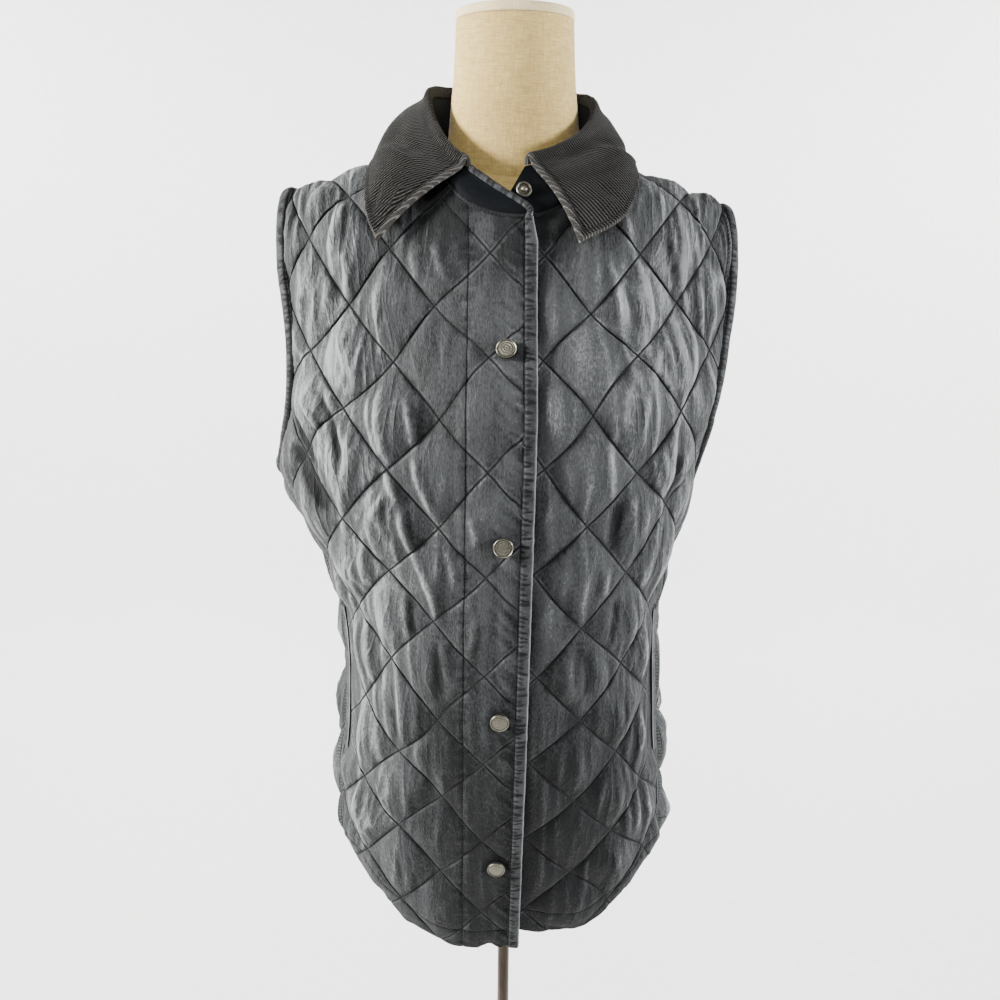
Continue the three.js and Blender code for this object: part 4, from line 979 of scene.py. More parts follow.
# Height of the cloth's outer side over its inside, its wear and painted light and shade there, and how loose
def cloth_height(name, line, u, v, inset):
    panel = PANELS[name]
    seed = panel["seed"]
    distances, places, puff = lattice(panel, *line)
    relief = panel["relief"](u, v)
    calm = mix(0.1, 1, smooth(inset, 0, 24))
    uneven = 0.8 + 0.4 * noise(u / 38, v / 45, seed)
    padding = PUFF * puff**FULLNESS * relief * uneven * mix(0.25, 1, smooth(inset, 0, 13))
    streak, crest, loose = streaks(seed, u, v, puff, relief, calm)
    pucker = line_puckers(seed, distances, places)
    edges = edge_puckers(name, seed, u, v, inset)
    fold, rubbed_and_painted_light = creases(CREASES[name], u, v, panel["steep"])
    fold = fold * mix(0.35, 1, puff**0.4) * calm
    height = WALL * smooth(inset, -2.5, 1.5) + padding + streak + pucker * mix(0.4, 1, relief)
    height = height + edges + np.where(fold > 0, 2.1, 1.2) * fold
    wear_and_painted_light = crest + 0.6 * rubbed_and_painted_light + 0.3 * pucker + 0.4 * edges + 0.12 * streak
    return height, wear_and_painted_light + 0.2 * (puff**0.5 - 0.8) * relief, loose


# Distances of points on a panel from its side seam and from its hem
def seam_and_hem(name, face, u, v):
    z = np.minimum(HEM_Z + v, CHEST_Z)
    side = np.where((u < 0) == (face == "front"), "left", "right")
    seam = np.zeros(len(u))
    for key in ("left", "right"):
        on = side == key
        seam[on] = seam_width(face, key, z[on]) - np.abs(u[on])
    share = np.abs(u) / (np.abs(u) + seam)
    hem = v - column_at(HEM_CURVE, "share", face, share)
    if name == "front_right":
        hem = hem - UNDERLAP["shorter"] * (1 - smooth(share, 0, 1))
    return seam, hem


# Depth of the grooves along rows of stitches and of the dimples round the snaps
def drawn_in(name, face, u, v, front, seam, hem):
    rows = [(front, 1.0, 1.2), (hem - HEM_STITCH, 0.9, 1.3)]
    if face == "front":
        rows += [(seam - place, 0.6, 1.1) for place in SEAM_STITCHES]
    depth = sum(deep * np.exp(-((distance / wide) ** 2)) for distance, deep, wide in rows)
    return depth + snap_dimples(u, v) if name == "front_left" else depth


# How far a point stands over the cloth on both sides of it
def crest_over(name, line, u, v, inset, height):
    beside = [
        cloth_height(name, (line[0] + away, line[1]), u + away, v, inset)[0]
        for away in (-CREST["reach"], CREST["reach"])
    ]
    return np.clip(height - sum(beside) / 2, -2.5, 3.5) * smooth(inset, 2, 12)


# Smooth waves between -1 and 1 along u
def waves(u, pitch, seed):
    return 2 * noise(u / pitch, 0 * u, seed) - 1


def add_panel(name, material):
    panel = PANELS[name]
    face, seed, outline = panel["face"], panel["seed"], panel["outline"]
    uv, inset, faces = cut_grid(outline, panel["mirror"], panel["parts"])
    line = uv[:, 0], uv[:, 1]
    u, v = wandered(name, panel, *line, inset)
    seam, hem = seam_and_hem(name, face, u, v)
    reach = (1 - smooth(hem, 0, HEM_RIPPLE["reach"])) * smooth(seam, 2, 20)
    v = v + HEM_RIPPLE["high"] * waves(u, HEM_RIPPLE["pitch"], seed + 40) * reach
    base = cloth_point(face, u, v)
    normal = cloth_normal(face, u, v)
    height, wear_and_painted_light, loose = cloth_height(name, line, u, v, inset)
    calmed = 1 - CREST["calm"] * smooth(np.abs(u), *CREST["calmed"])
    crest = crest_over(name, line, u, v, inset, height)
    # Crest wear, plus painted light and shade: paler and darker patches and the painted shadow under the
    # collar
    wear_and_painted_light = wear_and_painted_light + CREST[face] * calmed * crest + painted_light_and_shade(name, base, u, v)
    front = PLACKET["stitch"] - u if name == "front_left" else np.full(len(u), 100.0)
    height = height - drawn_in(name, face, u, v, front, seam, hem)
    reach = 1 - smooth(hem, 0, HEM_SWING["reach"])
    foot = panel["lift"](u) + HEM_SWING["high"] * waves(u, HEM_SWING["pitch"], seed + 8) * reach
    outer = base + normal * (foot + height)[:, None]
    inner = base + normal * foot[:, None]
    values = {
        "wear_and_painted_light": np.concatenate([wear_and_painted_light, wear_and_painted_light * 0]), "loose": np.concatenate([loose, loose * 0]),
        "seam": np.tile(seam, 2), "hem": np.tile(hem, 2), "front": np.tile(front, 2),
    }
    measures = np.tile(np.stack([panel["mirror"] * line[0], line[1]], 1) / 100, (2, 1))
    made = piece(
        name + "_quilted", np.concatenate([outer, inner]), shell_faces(faces, len(u)), material,
        [name], values, measures,
    )
    after = np.roll(outline, -1, 0)
    area = abs((outline[:, 0] * after[:, 1] - after[:, 0] * outline[:, 1]).sum()) / 2 * MM * MM
    size = np.ptp(outline, axis=0) * MM
    return made


def snap_place(level):
    rise = max(0, (level - CHEST_Z) / (ridge_z(0, "left") - CHEST_Z))
    high = measures_at("front", "left", abs(SNAP["across"]), rise)[1][0]
    return level - HEM_Z if level < CHEST_Z else high


# The placket is drawn in round each snap
def snap_dimples(u, v):
    depth = np.zeros(len(u))
    for level in SNAP_LEVELS:
        away = np.hypot(u - SNAP["across"], v - snap_place(level))
        depth += 0.9 * np.exp(-(((away - SNAP["radius"]) / 4) ** 2))
        depth += 0.6 * (away < SNAP["radius"])
    return depth


# A closed band: stations along it, each with the same loop of section points
def band_faces(stations, count, loop):
    faces = []
    last = stations if loop else stations - 1
    for i in range(last):
        a, b = i * count, (i + 1) % stations * count
        for k in range(count):
            after = (k + 1) % count
            faces.append((a + k, a + after, b + after, b + k))
    if not loop:
        faces.append(tuple(reversed(range(count))))
        faces.append(tuple(range((stations - 1) * count, stations * count)))
    return faces


# Faces turned so that they enclose a positive volume
def facing_out(points, faces):
    flat = np.asarray(points).reshape(-1, 3)
    volume = 0.0
    for size in {len(face) for face in faces}:
        index = np.array([face for face in faces if len(face) == size])
        corner = flat[index]
        for k in range(1, size - 1):
            volume += (corner[:, 0] * np.cross(corner[:, k], corner[:, k + 1])).sum()
    return faces if volume > 0 else [tuple(reversed(face)) for face in faces]


# Points, outward directions and normals along an edge given in fabric measures
def edge_stations(face, edge, closed_side):
    point = cloth_point(face, edge[:, 0], edge[:, 1])
    normal = cloth_normal(face, edge[:, 0], edge[:, 1])
    along = unit(np.gradient(point, axis=0))
    return point, unit(np.cross(along, normal)) * closed_side, normal


# Cross puckers of a narrow strip: depth from 0 to 1 at places along and across it
def ladder(along, share, pitch, seed):
    draw = np.random.RandomState(seed)
    count = int(along.max() / pitch) + 3
    centres = (np.arange(count) - 1 + draw.uniform(-0.22, 0.22, count)) * pitch
    strength = draw.uniform(0.45, 1, count)
    slant = draw.uniform(-3.4, 4.2, count)
    wide = draw.uniform(0.5, 1.0, count)
    reach = draw.uniform(0.55, 1.05, count)
    depth = np.zeros(np.broadcast(along, share).shape)
    for centre, strong, lean, width, far in zip(centres, strength, slant, wide, reach):
        row = strong * np.exp(-(((along - centre + lean * share) / width) ** 2))
        depth += row * (1 - smooth(share, far - 0.35, far))
    return depth * smooth(share, -0.02, 0.1)


# A rounded strip of cloth beside an edge, with its puckers and worn outer edge
def add_strip(name, point, out, normal, size, loop, material):
    length = np.linalg.norm(np.diff(point, axis=0), axis=1)
    along = np.concatenate([[0], np.cumsum(length)])[:, None]
    middle = (size["low"] + size["high"]) / 2
    half = (size["high"] - size["low"]) / 2
    top = np.arange(len(SECTION)) < SECTION_TOP
    share, seed = SECTION[None, :], SEEDS[name]
    depth = ladder(along, share, STRIP["pitch"], seed) * top
    round_off = half * np.sqrt(1 - share**4 * 0.85) * (0.45 + 0.55 * smooth(share, 0, 0.32))
    lump = STRIP["bumps"] * (noise(along / 9, share * 2, seed) - 0.5)
    seam = 0.9 * np.exp(-(((share - STRIP["stitch"]) / 0.05) ** 2)) * top
    high = middle + np.where(top, round_off - 1.15 * depth - seam + lump, -round_off)
    bumps = STRIP["bumps"] * (noise(along / 6, 0 * share, seed + 1) - 0.5) * share
    taper = 1 if loop else mix(0.6, 1, smooth(along[-1] - along, 0, 22))
    edge = size["gap"] - STRIP["tuck"] + share * (size["width"] * taper + STRIP["tuck"]) + bumps
    points = point[:, None, :] + out[:, None, :] * edge[..., None] + normal[:, None, :] * high[..., None]
    faces = facing_out(points, band_faces(len(point), len(SECTION), loop))
    wide = np.broadcast_to(share, depth.shape)
    long = np.broadcast_to(along, depth.shape)
    # The depth also darkens the puckers in the material, as painted shade
    values = {"depth": depth.ravel(), "across": wide.ravel()}
    measures = np.stack([wide.ravel() * size["width"], long.ravel()], 1) / 100
    made = piece(
        name + "_puckered", points.reshape(-1, 3), faces, material, [name],
        values, measures, sharp=70,
    )
    flat = (1.3 * size["width"] * MM, along[-1, 0] * MM)
    return made


def add_armhole_binding(side, material):
    turn = -1 if side == "left" else 1
    front = edge_stations("front", armhole_edge("front", side, 190), turn)
    back = edge_stations("back", armhole_edge("back", side, 230), -turn)
    rows = []
    for k in range(3):
        tip = (front[k][-1] + back[k][-1]) / 2
        seam = (front[k][0] + back[k][0]) / 2
        row = np.concatenate([front[k][1:-1], [tip], back[k][1:-1][::-1], [seam]])
        rows.append(row if k == 0 else unit(row))
    return add_strip("armhole_binding_" + side, *rows, BINDING, True, material)


def add_placket_binding(material):
    edge = centre_edge(PLACKET["edge"], 0)[::-1]
    place = np.linspace(0, 1, 620)
    old = np.linspace(0, 1, len(edge))
    edge = np.stack([np.interp(place, old, edge[:, 0]), np.interp(place, old, edge[:, 1])], 1)
    stations = edge_stations("front", edge, 1)
    return add_strip("placket_binding", *stations, PLACKET_BINDING, False, material)


# A welt beside the side seam, over the pocket mouth, crossed by puckers
def add_welt(side, material):
    name = "pocket_welt_" + side
    z = np.linspace(POCKET["bottom"], POCKET["top"], 120)
    sign = sign_of("front", side)
    share = SECTION[None, :]
    top = np.arange(len(SECTION)) < SECTION_TOP
    outer = seam_width("front", side, z)[:, None] - POCKET["inset"]
    u = sign * (outer - POCKET["width"] * share)
    v = np.broadcast_to(z[:, None] - HEM_Z, u.shape)
    depth = ladder(z[:, None] - z[0], share, WELT_PITCH, SEEDS[name]) * top
    crown = 1 - (2 * share - 1) ** 4
    high = np.where(top, POCKET["high"] - 0.9 + 0.9 * crown - 0.7 * depth, POCKET["low"])
    base = cloth_point("front", u.ravel(), v.ravel())
    normal = cloth_normal("front", u.ravel(), v.ravel())
    points = base + normal * high.ravel()[:, None]
    faces = facing_out(points, band_faces(len(z), len(SECTION), False))
    # The depth also darkens the puckers in the material, as painted shade
    values = {"depth": depth.ravel(), "across": np.broadcast_to(share, u.shape).ravel()}
    measures = np.stack([u.ravel(), v.ravel()], 1) / 100
    made = piece(
        name + "_puckered", points, faces, material, [name], values, measures, sharp=70,
    )
    return made


# The fall's fold, free edge and bow, from the left front round the back
def collar_station(share):
    place = np.asarray(share, float) * (len(COLLAR["index"]) - 1)
    fold = np.stack([column_at(COLLAR, "index", "fold_" + axis, place) for axis in "xyz"], -1)
    edge = np.stack([column_at(COLLAR, "index", "edge_" + axis, place) for axis in "xyz"], -1)
    return fold, edge, column_at(COLLAR, "index", "bow", place)


# Middle of the fall: from inside the fold, over it and down to the free edge
def collar_lines(share, count):
    fold, edge, bow = collar_station(share)
    out = edge - fold
    out[:, 2] = 0
    out = unit(out)
    start = fold + FOLD["out"] * out - FOLD["drop"] * UP
    rows = [
        fold + (FOLD["gap"] - FOLD["drop"]) * UP,
        fold + 0.4 * out - 2 * UP,
        fold + 3 * out + 0.5 * UP,
    ]
    for part in (0, 0.25, 0.5, 0.75, 1):
        lift = (bow * math.sin(math.pi * part) * 0.6)[:, None]
        rows.append(mix(start, edge, part) + lift * (out + UP))
    knots = np.stack(rows, 1)
    lines = np.stack([spline(line, 8 * count) for line in knots])
    length = lengths_along(lines)
    place = np.linspace(0, 1, count)
    even = np.stack([
        [np.interp(place * run[-1], run, line[:, axis]) for axis in range(3)]
        for run, line in zip(length, lines)
    ]).transpose(0, 2, 1)
    return even, out


# A value over a face and then, in reverse, over the face behind it
def there_and_back(value):
    return np.concatenate([value, value[:, ::-1]], 1).ravel()


# Lengths on the fall: from inside the fold, from its left end, and to its free edge
def collar_lengths(middle):
    run = lengths_along(middle)
    return run, lengths_along(middle.transpose(1, 0, 2)).T, run[:, -1:] - run


# Which wale a point lies on: they fan out a little below the fold
def wale_at(middle, from_left):
    centre = len(middle) // 2
    centred = from_left - from_left[centre]
    fold = centred[:, np.argmax(middle[centre, :, 2])][:, None]
    return mix(fold, centred, WALE_FAN) / WALE_PITCH


# Soft waves and folds of the fall
def collar_waves(share, run, from_left, rim):
    soft = 0.9 * (noise(from_left / 21, run / 18, SEEDS["collar"]) - 0.5) * smooth(rim, 3, 14)
    place = np.broadcast_to(share[:, None] * COLLAR_LENGTH, run.shape)
    folds, _ = creases(COLLAR_FOLDS, place.ravel(), -run.ravel())
    return soft + folds.reshape(run.shape) * smooth(rim, 0, 9)


def add_collar(material):
    stations, count = 560, 44
    share = np.linspace(0, 1, stations)
    middle, out = collar_lines(share, count)
    run, from_left, to_edge = collar_lengths(middle)
    rim = np.minimum(to_edge, np.minimum(from_left, from_left[-1] - from_left))
    across = unit(np.cross(out, UP))[:, None, :]
    side = unit(np.cross(unit(np.gradient(middle, axis=1)), across))
    roll = 0.75 * np.exp(-(((rim - 2.4) / 1.9) ** 2)) - 0.55 * np.exp(-(((rim - 5.8) / 0.8) ** 2))
    ripple = 0.25 * np.sin(2 * np.pi * (from_left + 0.6 * to_edge) / 2.9)
    ripple = ripple * np.exp(-(((rim - 2.6) / 2) ** 2))
    soft = collar_waves(share, run, from_left, rim)
    fall = smooth(run, 12, 24)
    thick = COLLAR_WALL / 2 * np.sqrt(1 - (1 - np.clip(rim / 1.6, 0, 1)) ** 2 * 0.9)
    top = middle - side * (thick + (roll + ripple) * fall + soft)[..., None]
    under = middle + side * (thick + 0.4 * roll * fall - soft)[..., None]
    points = np.concatenate([top, under[:, ::-1]], 1)
    faces = facing_out(points, band_faces(stations, 2 * count, False))
    values = {"wale": wale_at(middle, from_left), "rim": rim, "run": from_left}
    values = {key: there_and_back(value) for key, value in values.items()}
    measures = np.stack([there_and_back(from_left), there_and_back(run)], 1) / 100
    made = piece(
        "collar_corduroy", points.reshape(-1, 3), faces, material, ["collar"],
        values, measures, sharp=60,
    )
    size = (from_left[-1].max() * MM, run[:, -1].max() * MM)
    0.72 * size[0] * size[1]
    return made


# A point of the neckline and its normal, from the left front round the back
def neckline_station(share):
    share = np.atleast_1d(share)
    point = np.zeros((len(share), 3))
    normal = np.zeros((len(share), 3))
    quarter = np.clip(np.floor(share * 4), 0, 3).astype(int)
    ends = [-math.asin(STAND[key] / NECK_POINT_X) for key in ("left_end", "right_end")]
    for part in range(4):
        on = quarter == part
        face = "front" if part in (0, 3) else "back"
        side = "left" if part < 2 else "right"
        first = 0 if face == "back" else ends[0 if side == "left" else 1]
        rising = share[on] * 4 - part
        rising = rising if part % 2 == 0 else 1 - rising
        u, v = neckline_measures(face, side, mix(first, math.pi / 2, rising))
        normal[on] = cloth_normal(face, u, v)
        lift = left_lift(u) if part == 0 else 0 * u
        point[on] = cloth_point(face, u, v) + normal[on] * (lift + STAND["depth"])[:, None]
    return point, normal


# Foot and top of the collar's stand, and the way out from the neck
def stand_station(share):
    share = np.atleast_1d(np.asarray(share, float))
    step = 0.004
    point, normal = neckline_station(share)
    before = neckline_station(np.maximum(0, share - step))[0]
    after = neckline_station(np.minimum(1, share + step))[0]
    away = unit(np.cross(unit(after - before), normal))
    axis = np.stack([0 * share + NECK["x"][0], 0 * share + NECK["y"][0], point[:, 2]], 1)
    away *= np.where(((axis - point) * away).sum(1) < 0, -1, 1)[:, None]
    clear = STAND["gap"] + STAND["wall"] / 2 * np.hypot(away[:, 0], away[:, 1])
    foot = point + away * clear[:, None]
    out = foot - axis
    out[:, 2] = 0
    top = collar_station(share)[0] - FOLD["drop"] * UP
    return foot, top, unit(out)


def add_stand(material):
    stations, count = 260, 22
    foot, top, out = stand_station(np.linspace(0, 1, stations))
    bend = foot + STAND["rise"] * UP
    knots = np.stack([foot, bend, (bend + top) / 2, top], 1)
    middle = np.stack([spline(line, count - 1) for line in knots])
    run = lengths_along(middle)
    along = lengths_along(middle.transpose(1, 0, 2)).T
    place = run / run[:, -1:]
    middle_part = smooth(place, 0, 0.3) * (1 - smooth(place, 0.8, 1))
    ripple = 0.5 * (noise(along / 16, place * 2.2, SEEDS["collar_stand"]) - 0.5) * middle_part
    half = STAND["wall"] / 2
    outer = middle + out[:, None, :] * (half + ripple)[..., None]
    inner = middle - out[:, None, :] * half
    points = np.concatenate([outer, inner[:, ::-1]], 1)
    faces = facing_out(points, band_faces(stations, 2 * count, False))
    measures = np.stack([there_and_back(along), there_and_back(run)], 1) / 100
    made = piece(
        "collar_stand_twill", points.reshape(-1, 3), faces, material, ["collar_stand"],
        {"run": there_and_back(run)}, measures,
    )
    return made


# A round tube along a smooth path, closed at both ends
def tube(points, radius, sides):
    tangent = unit(np.gradient(points, axis=0))
    side = unit(np.cross(tangent, UP))
    third = np.cross(tangent, side)
    angle = np.linspace(0, 2 * np.pi, sides, endpoint=False)
    angle = angle[None, :, None]
    ring = np.cos(angle) * side[:, None, :] + np.sin(angle) * third[:, None, :]
    reach = np.broadcast_to(np.asarray(radius, float), len(points))
    made = points[:, None, :] + ring * reach[:, None, None]
    return made.reshape(-1, 3), facing_out(made, band_faces(len(points), sides, False))


# A rolled strip of the shell's cloth along a path, worn by a middle amount and a swing round it
def add_roll(name, path, length, radius, sides, depth, wear, material):
    points, faces = tube(path, radius, sides)
    angle = np.tile(np.linspace(0, 1, sides, endpoint=False), len(path))
    across = wear[0] + wear[1] * np.sin(2 * np.pi * angle)
    values = {"depth": np.repeat(depth, sides), "across": across}
    measures = np.stack([angle * 0.13, np.repeat(length, sides) / 100], 1)
    return piece(name, points, faces, material, [], values, measures)


# The rolled seam where the stand joins the shell, darkened all along as painted shadow under the collar
def add_stand_seam(material):
    seed = SEEDS["neckline_seam"]
    foot, _, out = stand_station(np.linspace(0, 1, 300))
    path = foot + 1.0 * out - 0.6 * UP
    length = lengths_along(path[None])[0]
    depth = ladder(length, 0.5 + 0 * length, SEAM_ROLL["pitch"], seed)
    swell = 1 + 0.25 * (noise(length / 14, 0 * length, seed + 1) - 0.5)
    radius = SEAM_ROLL["radius"] * (1 - 0.15 * depth) * swell
    sides, wear = SEAM_ROLL["sides"], (0.3, 0)
    # The 0.6 added to the depth darkens the whole roll: painted shadow under the collar
    made = add_roll("neckline_seam", path, length, radius, sides, 0.6 + depth, wear, material)
    return made


# The bound end of the stand, from its top corner down to the placket's edge
def add_stand_edge(material):
    foot, top, _ = stand_station(0.0)
    bend = foot[0] + STAND["rise"] * UP
    path = spline([top[0] + 1.2 * UP, (top[0] + bend) / 2, bend, foot[0] - 1.5 * UP], 60)
    path = path - np.array([0.6, 1.0, 0])
    share = np.linspace(0, 1, len(path))
    length = np.linalg.norm(path[-1] - path[0])
    depth = ladder(share * length, 0.5 + 0 * share, STAND_ROLL["pitch"], SEEDS["collar_stand_edge"])
    ends = np.minimum(1, np.sqrt(np.minimum(share, 1 - share) * 40) + 0.3)
    radius = STAND_ROLL["radius"] * ends * (1 - 0.14 * depth)
    sides, wear = STAND_ROLL["sides"], (0.55, 0.45)
    made = add_roll("collar_stand_edge", path, share * length, radius, sides, depth, wear, material)
    return made


# A solid of revolution from a profile of radii and heights, standing on a point along an axis
def lathe(profile, sides, point, axis):
    axis = np.asarray(axis, float)
    first = unit(np.cross(axis, [0.3, 1, 0.2]))
    second = np.cross(axis, first)
    angle = np.linspace(0, 2 * np.pi, sides, endpoint=False)
    ring = np.cos(angle)[:, None] * first + np.sin(angle)[:, None] * second
    rows = np.array([ring * radius + axis * height for radius, height in profile]) + point
    flat = rows.reshape(-1, 3)
    return flat, facing_out(flat, band_faces(len(profile), sides, False))


# Profile of a round cap: a raised rim round a low domed face with fine rings
def cap_profile(radius, height, rim):
    rows = [(radius * 0.93, 0), (radius * 0.985, height * 0.14), (radius, height * 0.36)]
    rows += [(radius, height * 0.66), (radius - rim * 0.16, height * 0.88)]
    rows += [(radius - rim * 0.5, height), (radius - rim * 0.84, height * 0.93)]
    rows += [(radius - rim * 1.05, height * 0.8), (radius - rim * 1.3, height * 0.77)]
    inner = radius - rim * 1.5
    for share in np.linspace(0, 1, 22)[:-1]:
        dome = 0.77 + 0.16 * (1 - (1 - share) ** 2)
        rows.append((inner * (1 - share), height * (dome + 0.045 * math.cos(19 * share))))
    rows.append((0.05, height * 0.93))
    return rows


# Height of the highest padding under a snap cap
def padding_under(u, v, radius):
    angle = np.arange(8) * math.pi / 4
    across = np.concatenate([[u], u + radius * np.cos(angle)])
    up = np.concatenate([[v], v + radius * np.sin(angle)])
    puff = lattice(PANELS["front_left"], across, up)[2]
    return PLACKET["relief"] * PUFF * (puff.max() ** FULLNESS) + 0.3


def add_snaps(material):
    for index, level in enumerate(SNAP_LEVELS):
        v = snap_place(level)
        normal = cloth_normal("front", SNAP["across"], v)[0]
        padding = padding_under(SNAP["across"], v, SNAP["radius"] / 2)
        height = PLACKET["lift"] + WALL + padding + SEAM_GAP
        point = cloth_point("front", SNAP["across"], v)[0] + normal * height
        name = "snap_cap_" + str(index + 1)
        points, faces = lathe(cap_profile(SNAP["radius"], SNAP["height"], SNAP["rim"]), 72, point, normal)
        values = {"face": axis_distance(points, point, normal), "hollow": np.zeros(len(points))}
        piece(name + "_worn", points, faces, material, [name], values)


# How far a point is from a cap's axis
def axis_distance(points, point, normal):
    away = points - point
    flat = away - (away @ normal)[:, None] * normal
    return np.linalg.norm(flat, axis=1)


# The bare ring of the top snap with the ball of its stud
def add_stud(material):
    foot, top, out = stand_station(STUD["share"])
    bend = foot[0] + STAND["rise"] * UP
    slope = unit(top[0] - bend)
    side = unit(np.cross(slope, out[0]))
    normal = unit(np.cross(side, slope))
    normal = normal if normal @ out[0] > 0 else -normal
    point = mix(bend, top[0], STUD["up"]) + normal * (STAND["wall"] / 2 + STUD["gap"])
    radius, height, rim = STUD["radius"], STUD["height"], STUD["rim"]
    profile = [(radius * 0.94, 0), (radius, 0.5), (radius, 1.1), (radius - 0.4, height - 0.15)]
    profile += [(radius - rim * 0.6, height), (radius - rim, height - 0.2), (radius - rim * 1.3, 0.9)]
    profile += [(2.9, 0.75), (2.5, 1.0), (2.3, 1.7), (2.45, 2.3)]
    profile += [(2.3, 2.9), (1.8, 3.4), (1.0, 3.7), (0.05, 3.8)]
    points, faces = lathe(profile, 64, point, normal)
    face = axis_distance(points, point, normal)
    # The hollow between ball and rim, darkened in the material as painted shade
    hollow = smooth(face, 2.2, 2.9) * (1 - smooth(face, radius - rim * 1.3, radius - rim * 0.9))
    values = {"face": face, "hollow": hollow}
    return piece("collar_stud_worn", points, faces, material, ["collar_stud"], values)


# Rings of the form's torso, from its flat base to the ridge of its shoulders
def form_rows():
    turn = np.linspace(0, 360, FORM_SIDES, endpoint=False)
    half_turn = np.where(turn <= 180, turn, 360 - turn)
    side = np.where(turn <= 180, "right", "left")
    rows = []
    for z in np.concatenate([[770, 770.8, 772.5, 776], np.linspace(782, 1220, 60)]):
        row = np.zeros((FORM_SIDES, 3))
        for key in ("left", "right"):
            on = side == key
            row[on] = ring_point(z, key, half_turn[on], FORM_BODY, "half")
        rows.append(row)
    round_in = [0.985, 0.993, 0.998, 1]
    for k, share in enumerate(round_in):
        centre = rows[k].mean(0)
        rows[k] = centre + (rows[k] - centre) * share
    for rise in np.concatenate([np.linspace(0, 0.86, 40), [0.89, 0.92, 0.945, 0.965, 0.98, 0.99, 0.997, 1]]):
        half = column_at(FORM_CHEST, "rise", "half", rise)
        across = half * np.maximum(np.sin(np.radians(half_turn)), 0) ** PLAN_POWER
        row = np.zeros((FORM_SIDES, 3))
        for key in ("left", "right"):
            for face in ("front", "back"):
                on = (side == key) & ((half_turn < 90) == (face == "front"))
                row[on] = chest_point(across[on], rise, key, face, FORM_CHEST, "half", FORM_DROP)
        rows.append(row)
    return rows


# Oval rings round the neck's axis: their levels, and how far each spreads beyond the neck
def neck_rows(levels, spread):
    angle = np.radians(np.linspace(-90, 270, FORM_SIDES, endpoint=False))
    rows = []
    for z, more in zip(levels, spread):
        across, deep, x, y = (column_at(NECK, "z", key, z) for key in ("across", "deep", "x", "y"))
        rows.append(np.stack([
            x + (across + more) * np.cos(angle), y + (deep + more) * np.sin(angle), 0 * angle + z,
        ], 1))
    return rows


# A closed piece from rings of points, from the lowest up
def rings_piece(name, rows, material, nodes):
    points = np.concatenate(rows)
    count = len(rows[0])
    faces = facing_out(points, band_faces(len(rows), count, False))
    return piece(name, points, faces, material, nodes, sharp=60)


def add_form(linen, cap):
    rings_piece("form_torso_cover", form_rows(), linen, ["form_torso"])
    z = np.linspace(NECK["z"][0], NECK["z"][-1], 60)
    rings_piece("form_neck_cover", neck_rows(z, 0 * z), linen, [])
    top = NECK["z"][-1]
    levels = [top + CAP["gap"], top + 1, top + 2, top + 5.4, top + 7, top + 7.8, top + CAP["height"]]
    spread = [-0.4, 0.3, 0.5, 0.5, 0.1, -0.8, -2.2]
    rings_piece("form_neck_cap_cover", neck_rows(levels, spread), cap, ["form_neck_cap"])


def add_stand_metal(pole, base):
    bottom, top = BASE["boss_top"] + SEAM_GAP, FORM_BODY["z"][0] - SEAM_GAP
    profile = [(POLE_RADIUS - 0.5, bottom), (POLE_RADIUS, bottom + 0.5)]
    profile += [(POLE_RADIUS, z) for z in np.linspace(bottom + 30, top - 30, 12)]
    profile += [(POLE_RADIUS, top - 0.5), (POLE_RADIUS - 0.5, top)]
    points, faces = lathe(profile, 64, np.zeros(3), UP)
    piece("stand_pole_tube", points, faces, pole, ["stand_pole"])
    radius, height, bevel = BASE["radius"], BASE["height"], BASE["bevel"]
    boss, high = BASE["boss"], BASE["boss_top"]
    profile = [(radius - 0.6, 0), (radius, 0.6), (radius, height - bevel)]
    for turn in (0.5, 1.0, 1.57):
        inset, drop = bevel * (1 - math.cos(turn)), bevel * (1 - math.sin(turn))
        profile.append((radius - inset, height - drop))
    profile += [(radius * share, height) for share in (0.8, 0.5, 0.25)]
    profile += [(boss + 3, height), (boss + 0.8, height + 0.7), (boss, height + 3)]
    profile += [(boss - 0.4, high - 3), (boss - 1, high - 1), (boss - 2.6, high), (POLE_RADIUS + 1.4, high)]
    profile += [(POLE_RADIUS + 0.2, high - 0.6), (0.05, high - 0.6)]
    points, faces = lathe(profile, 128, np.zeros(3), UP)
    piece("stand_base_plate", points, faces, base, ["stand_base"])


# A number in a material's nodes: arithmetic on it adds further nodes
class Term:
    def __init__(self, shader, socket):
        self.shader = shader
        self.socket = socket

    def maths(self, operation, *values):
        return self.shader.maths(operation, self, *values)

    def __add__(self, other):
        return self.maths("ADD", other)

    def __sub__(self, other):
        return self.maths("SUBTRACT", other)

    def __rsub__(self, other):
        return self.shader.maths("SUBTRACT", other, self)

    def __mul__(self, other):
        return self.maths("MULTIPLY", other)

    def __truediv__(self, other):
        return self.maths("DIVIDE", other)

    def __pow__(self, other):
        return self.maths("POWER", other)

    def __abs__(self):
        return self.maths("ABSOLUTE")

    def larger(self, other):
        return self.maths("MAXIMUM", other)

    # Up to a limit and back down to 0, over and over
    def folded(self, limit):
        return self.maths("PINGPONG", limit)

    # Place between two limits, as 0 to 1 on a soft step
    def step(self, low, high):
        made = self.shader.node("MapRange", {"Value": self, "From Min": low, "From Max": high})
        made.interpolation_type = "SMOOTHSTEP"
        return Term(self.shader, made.outputs["Result"])

    # Sharp ridges where a noise crosses its middle value
    def ridge(self):
        return 1 - abs(self * 2 - 1) ** 0.6


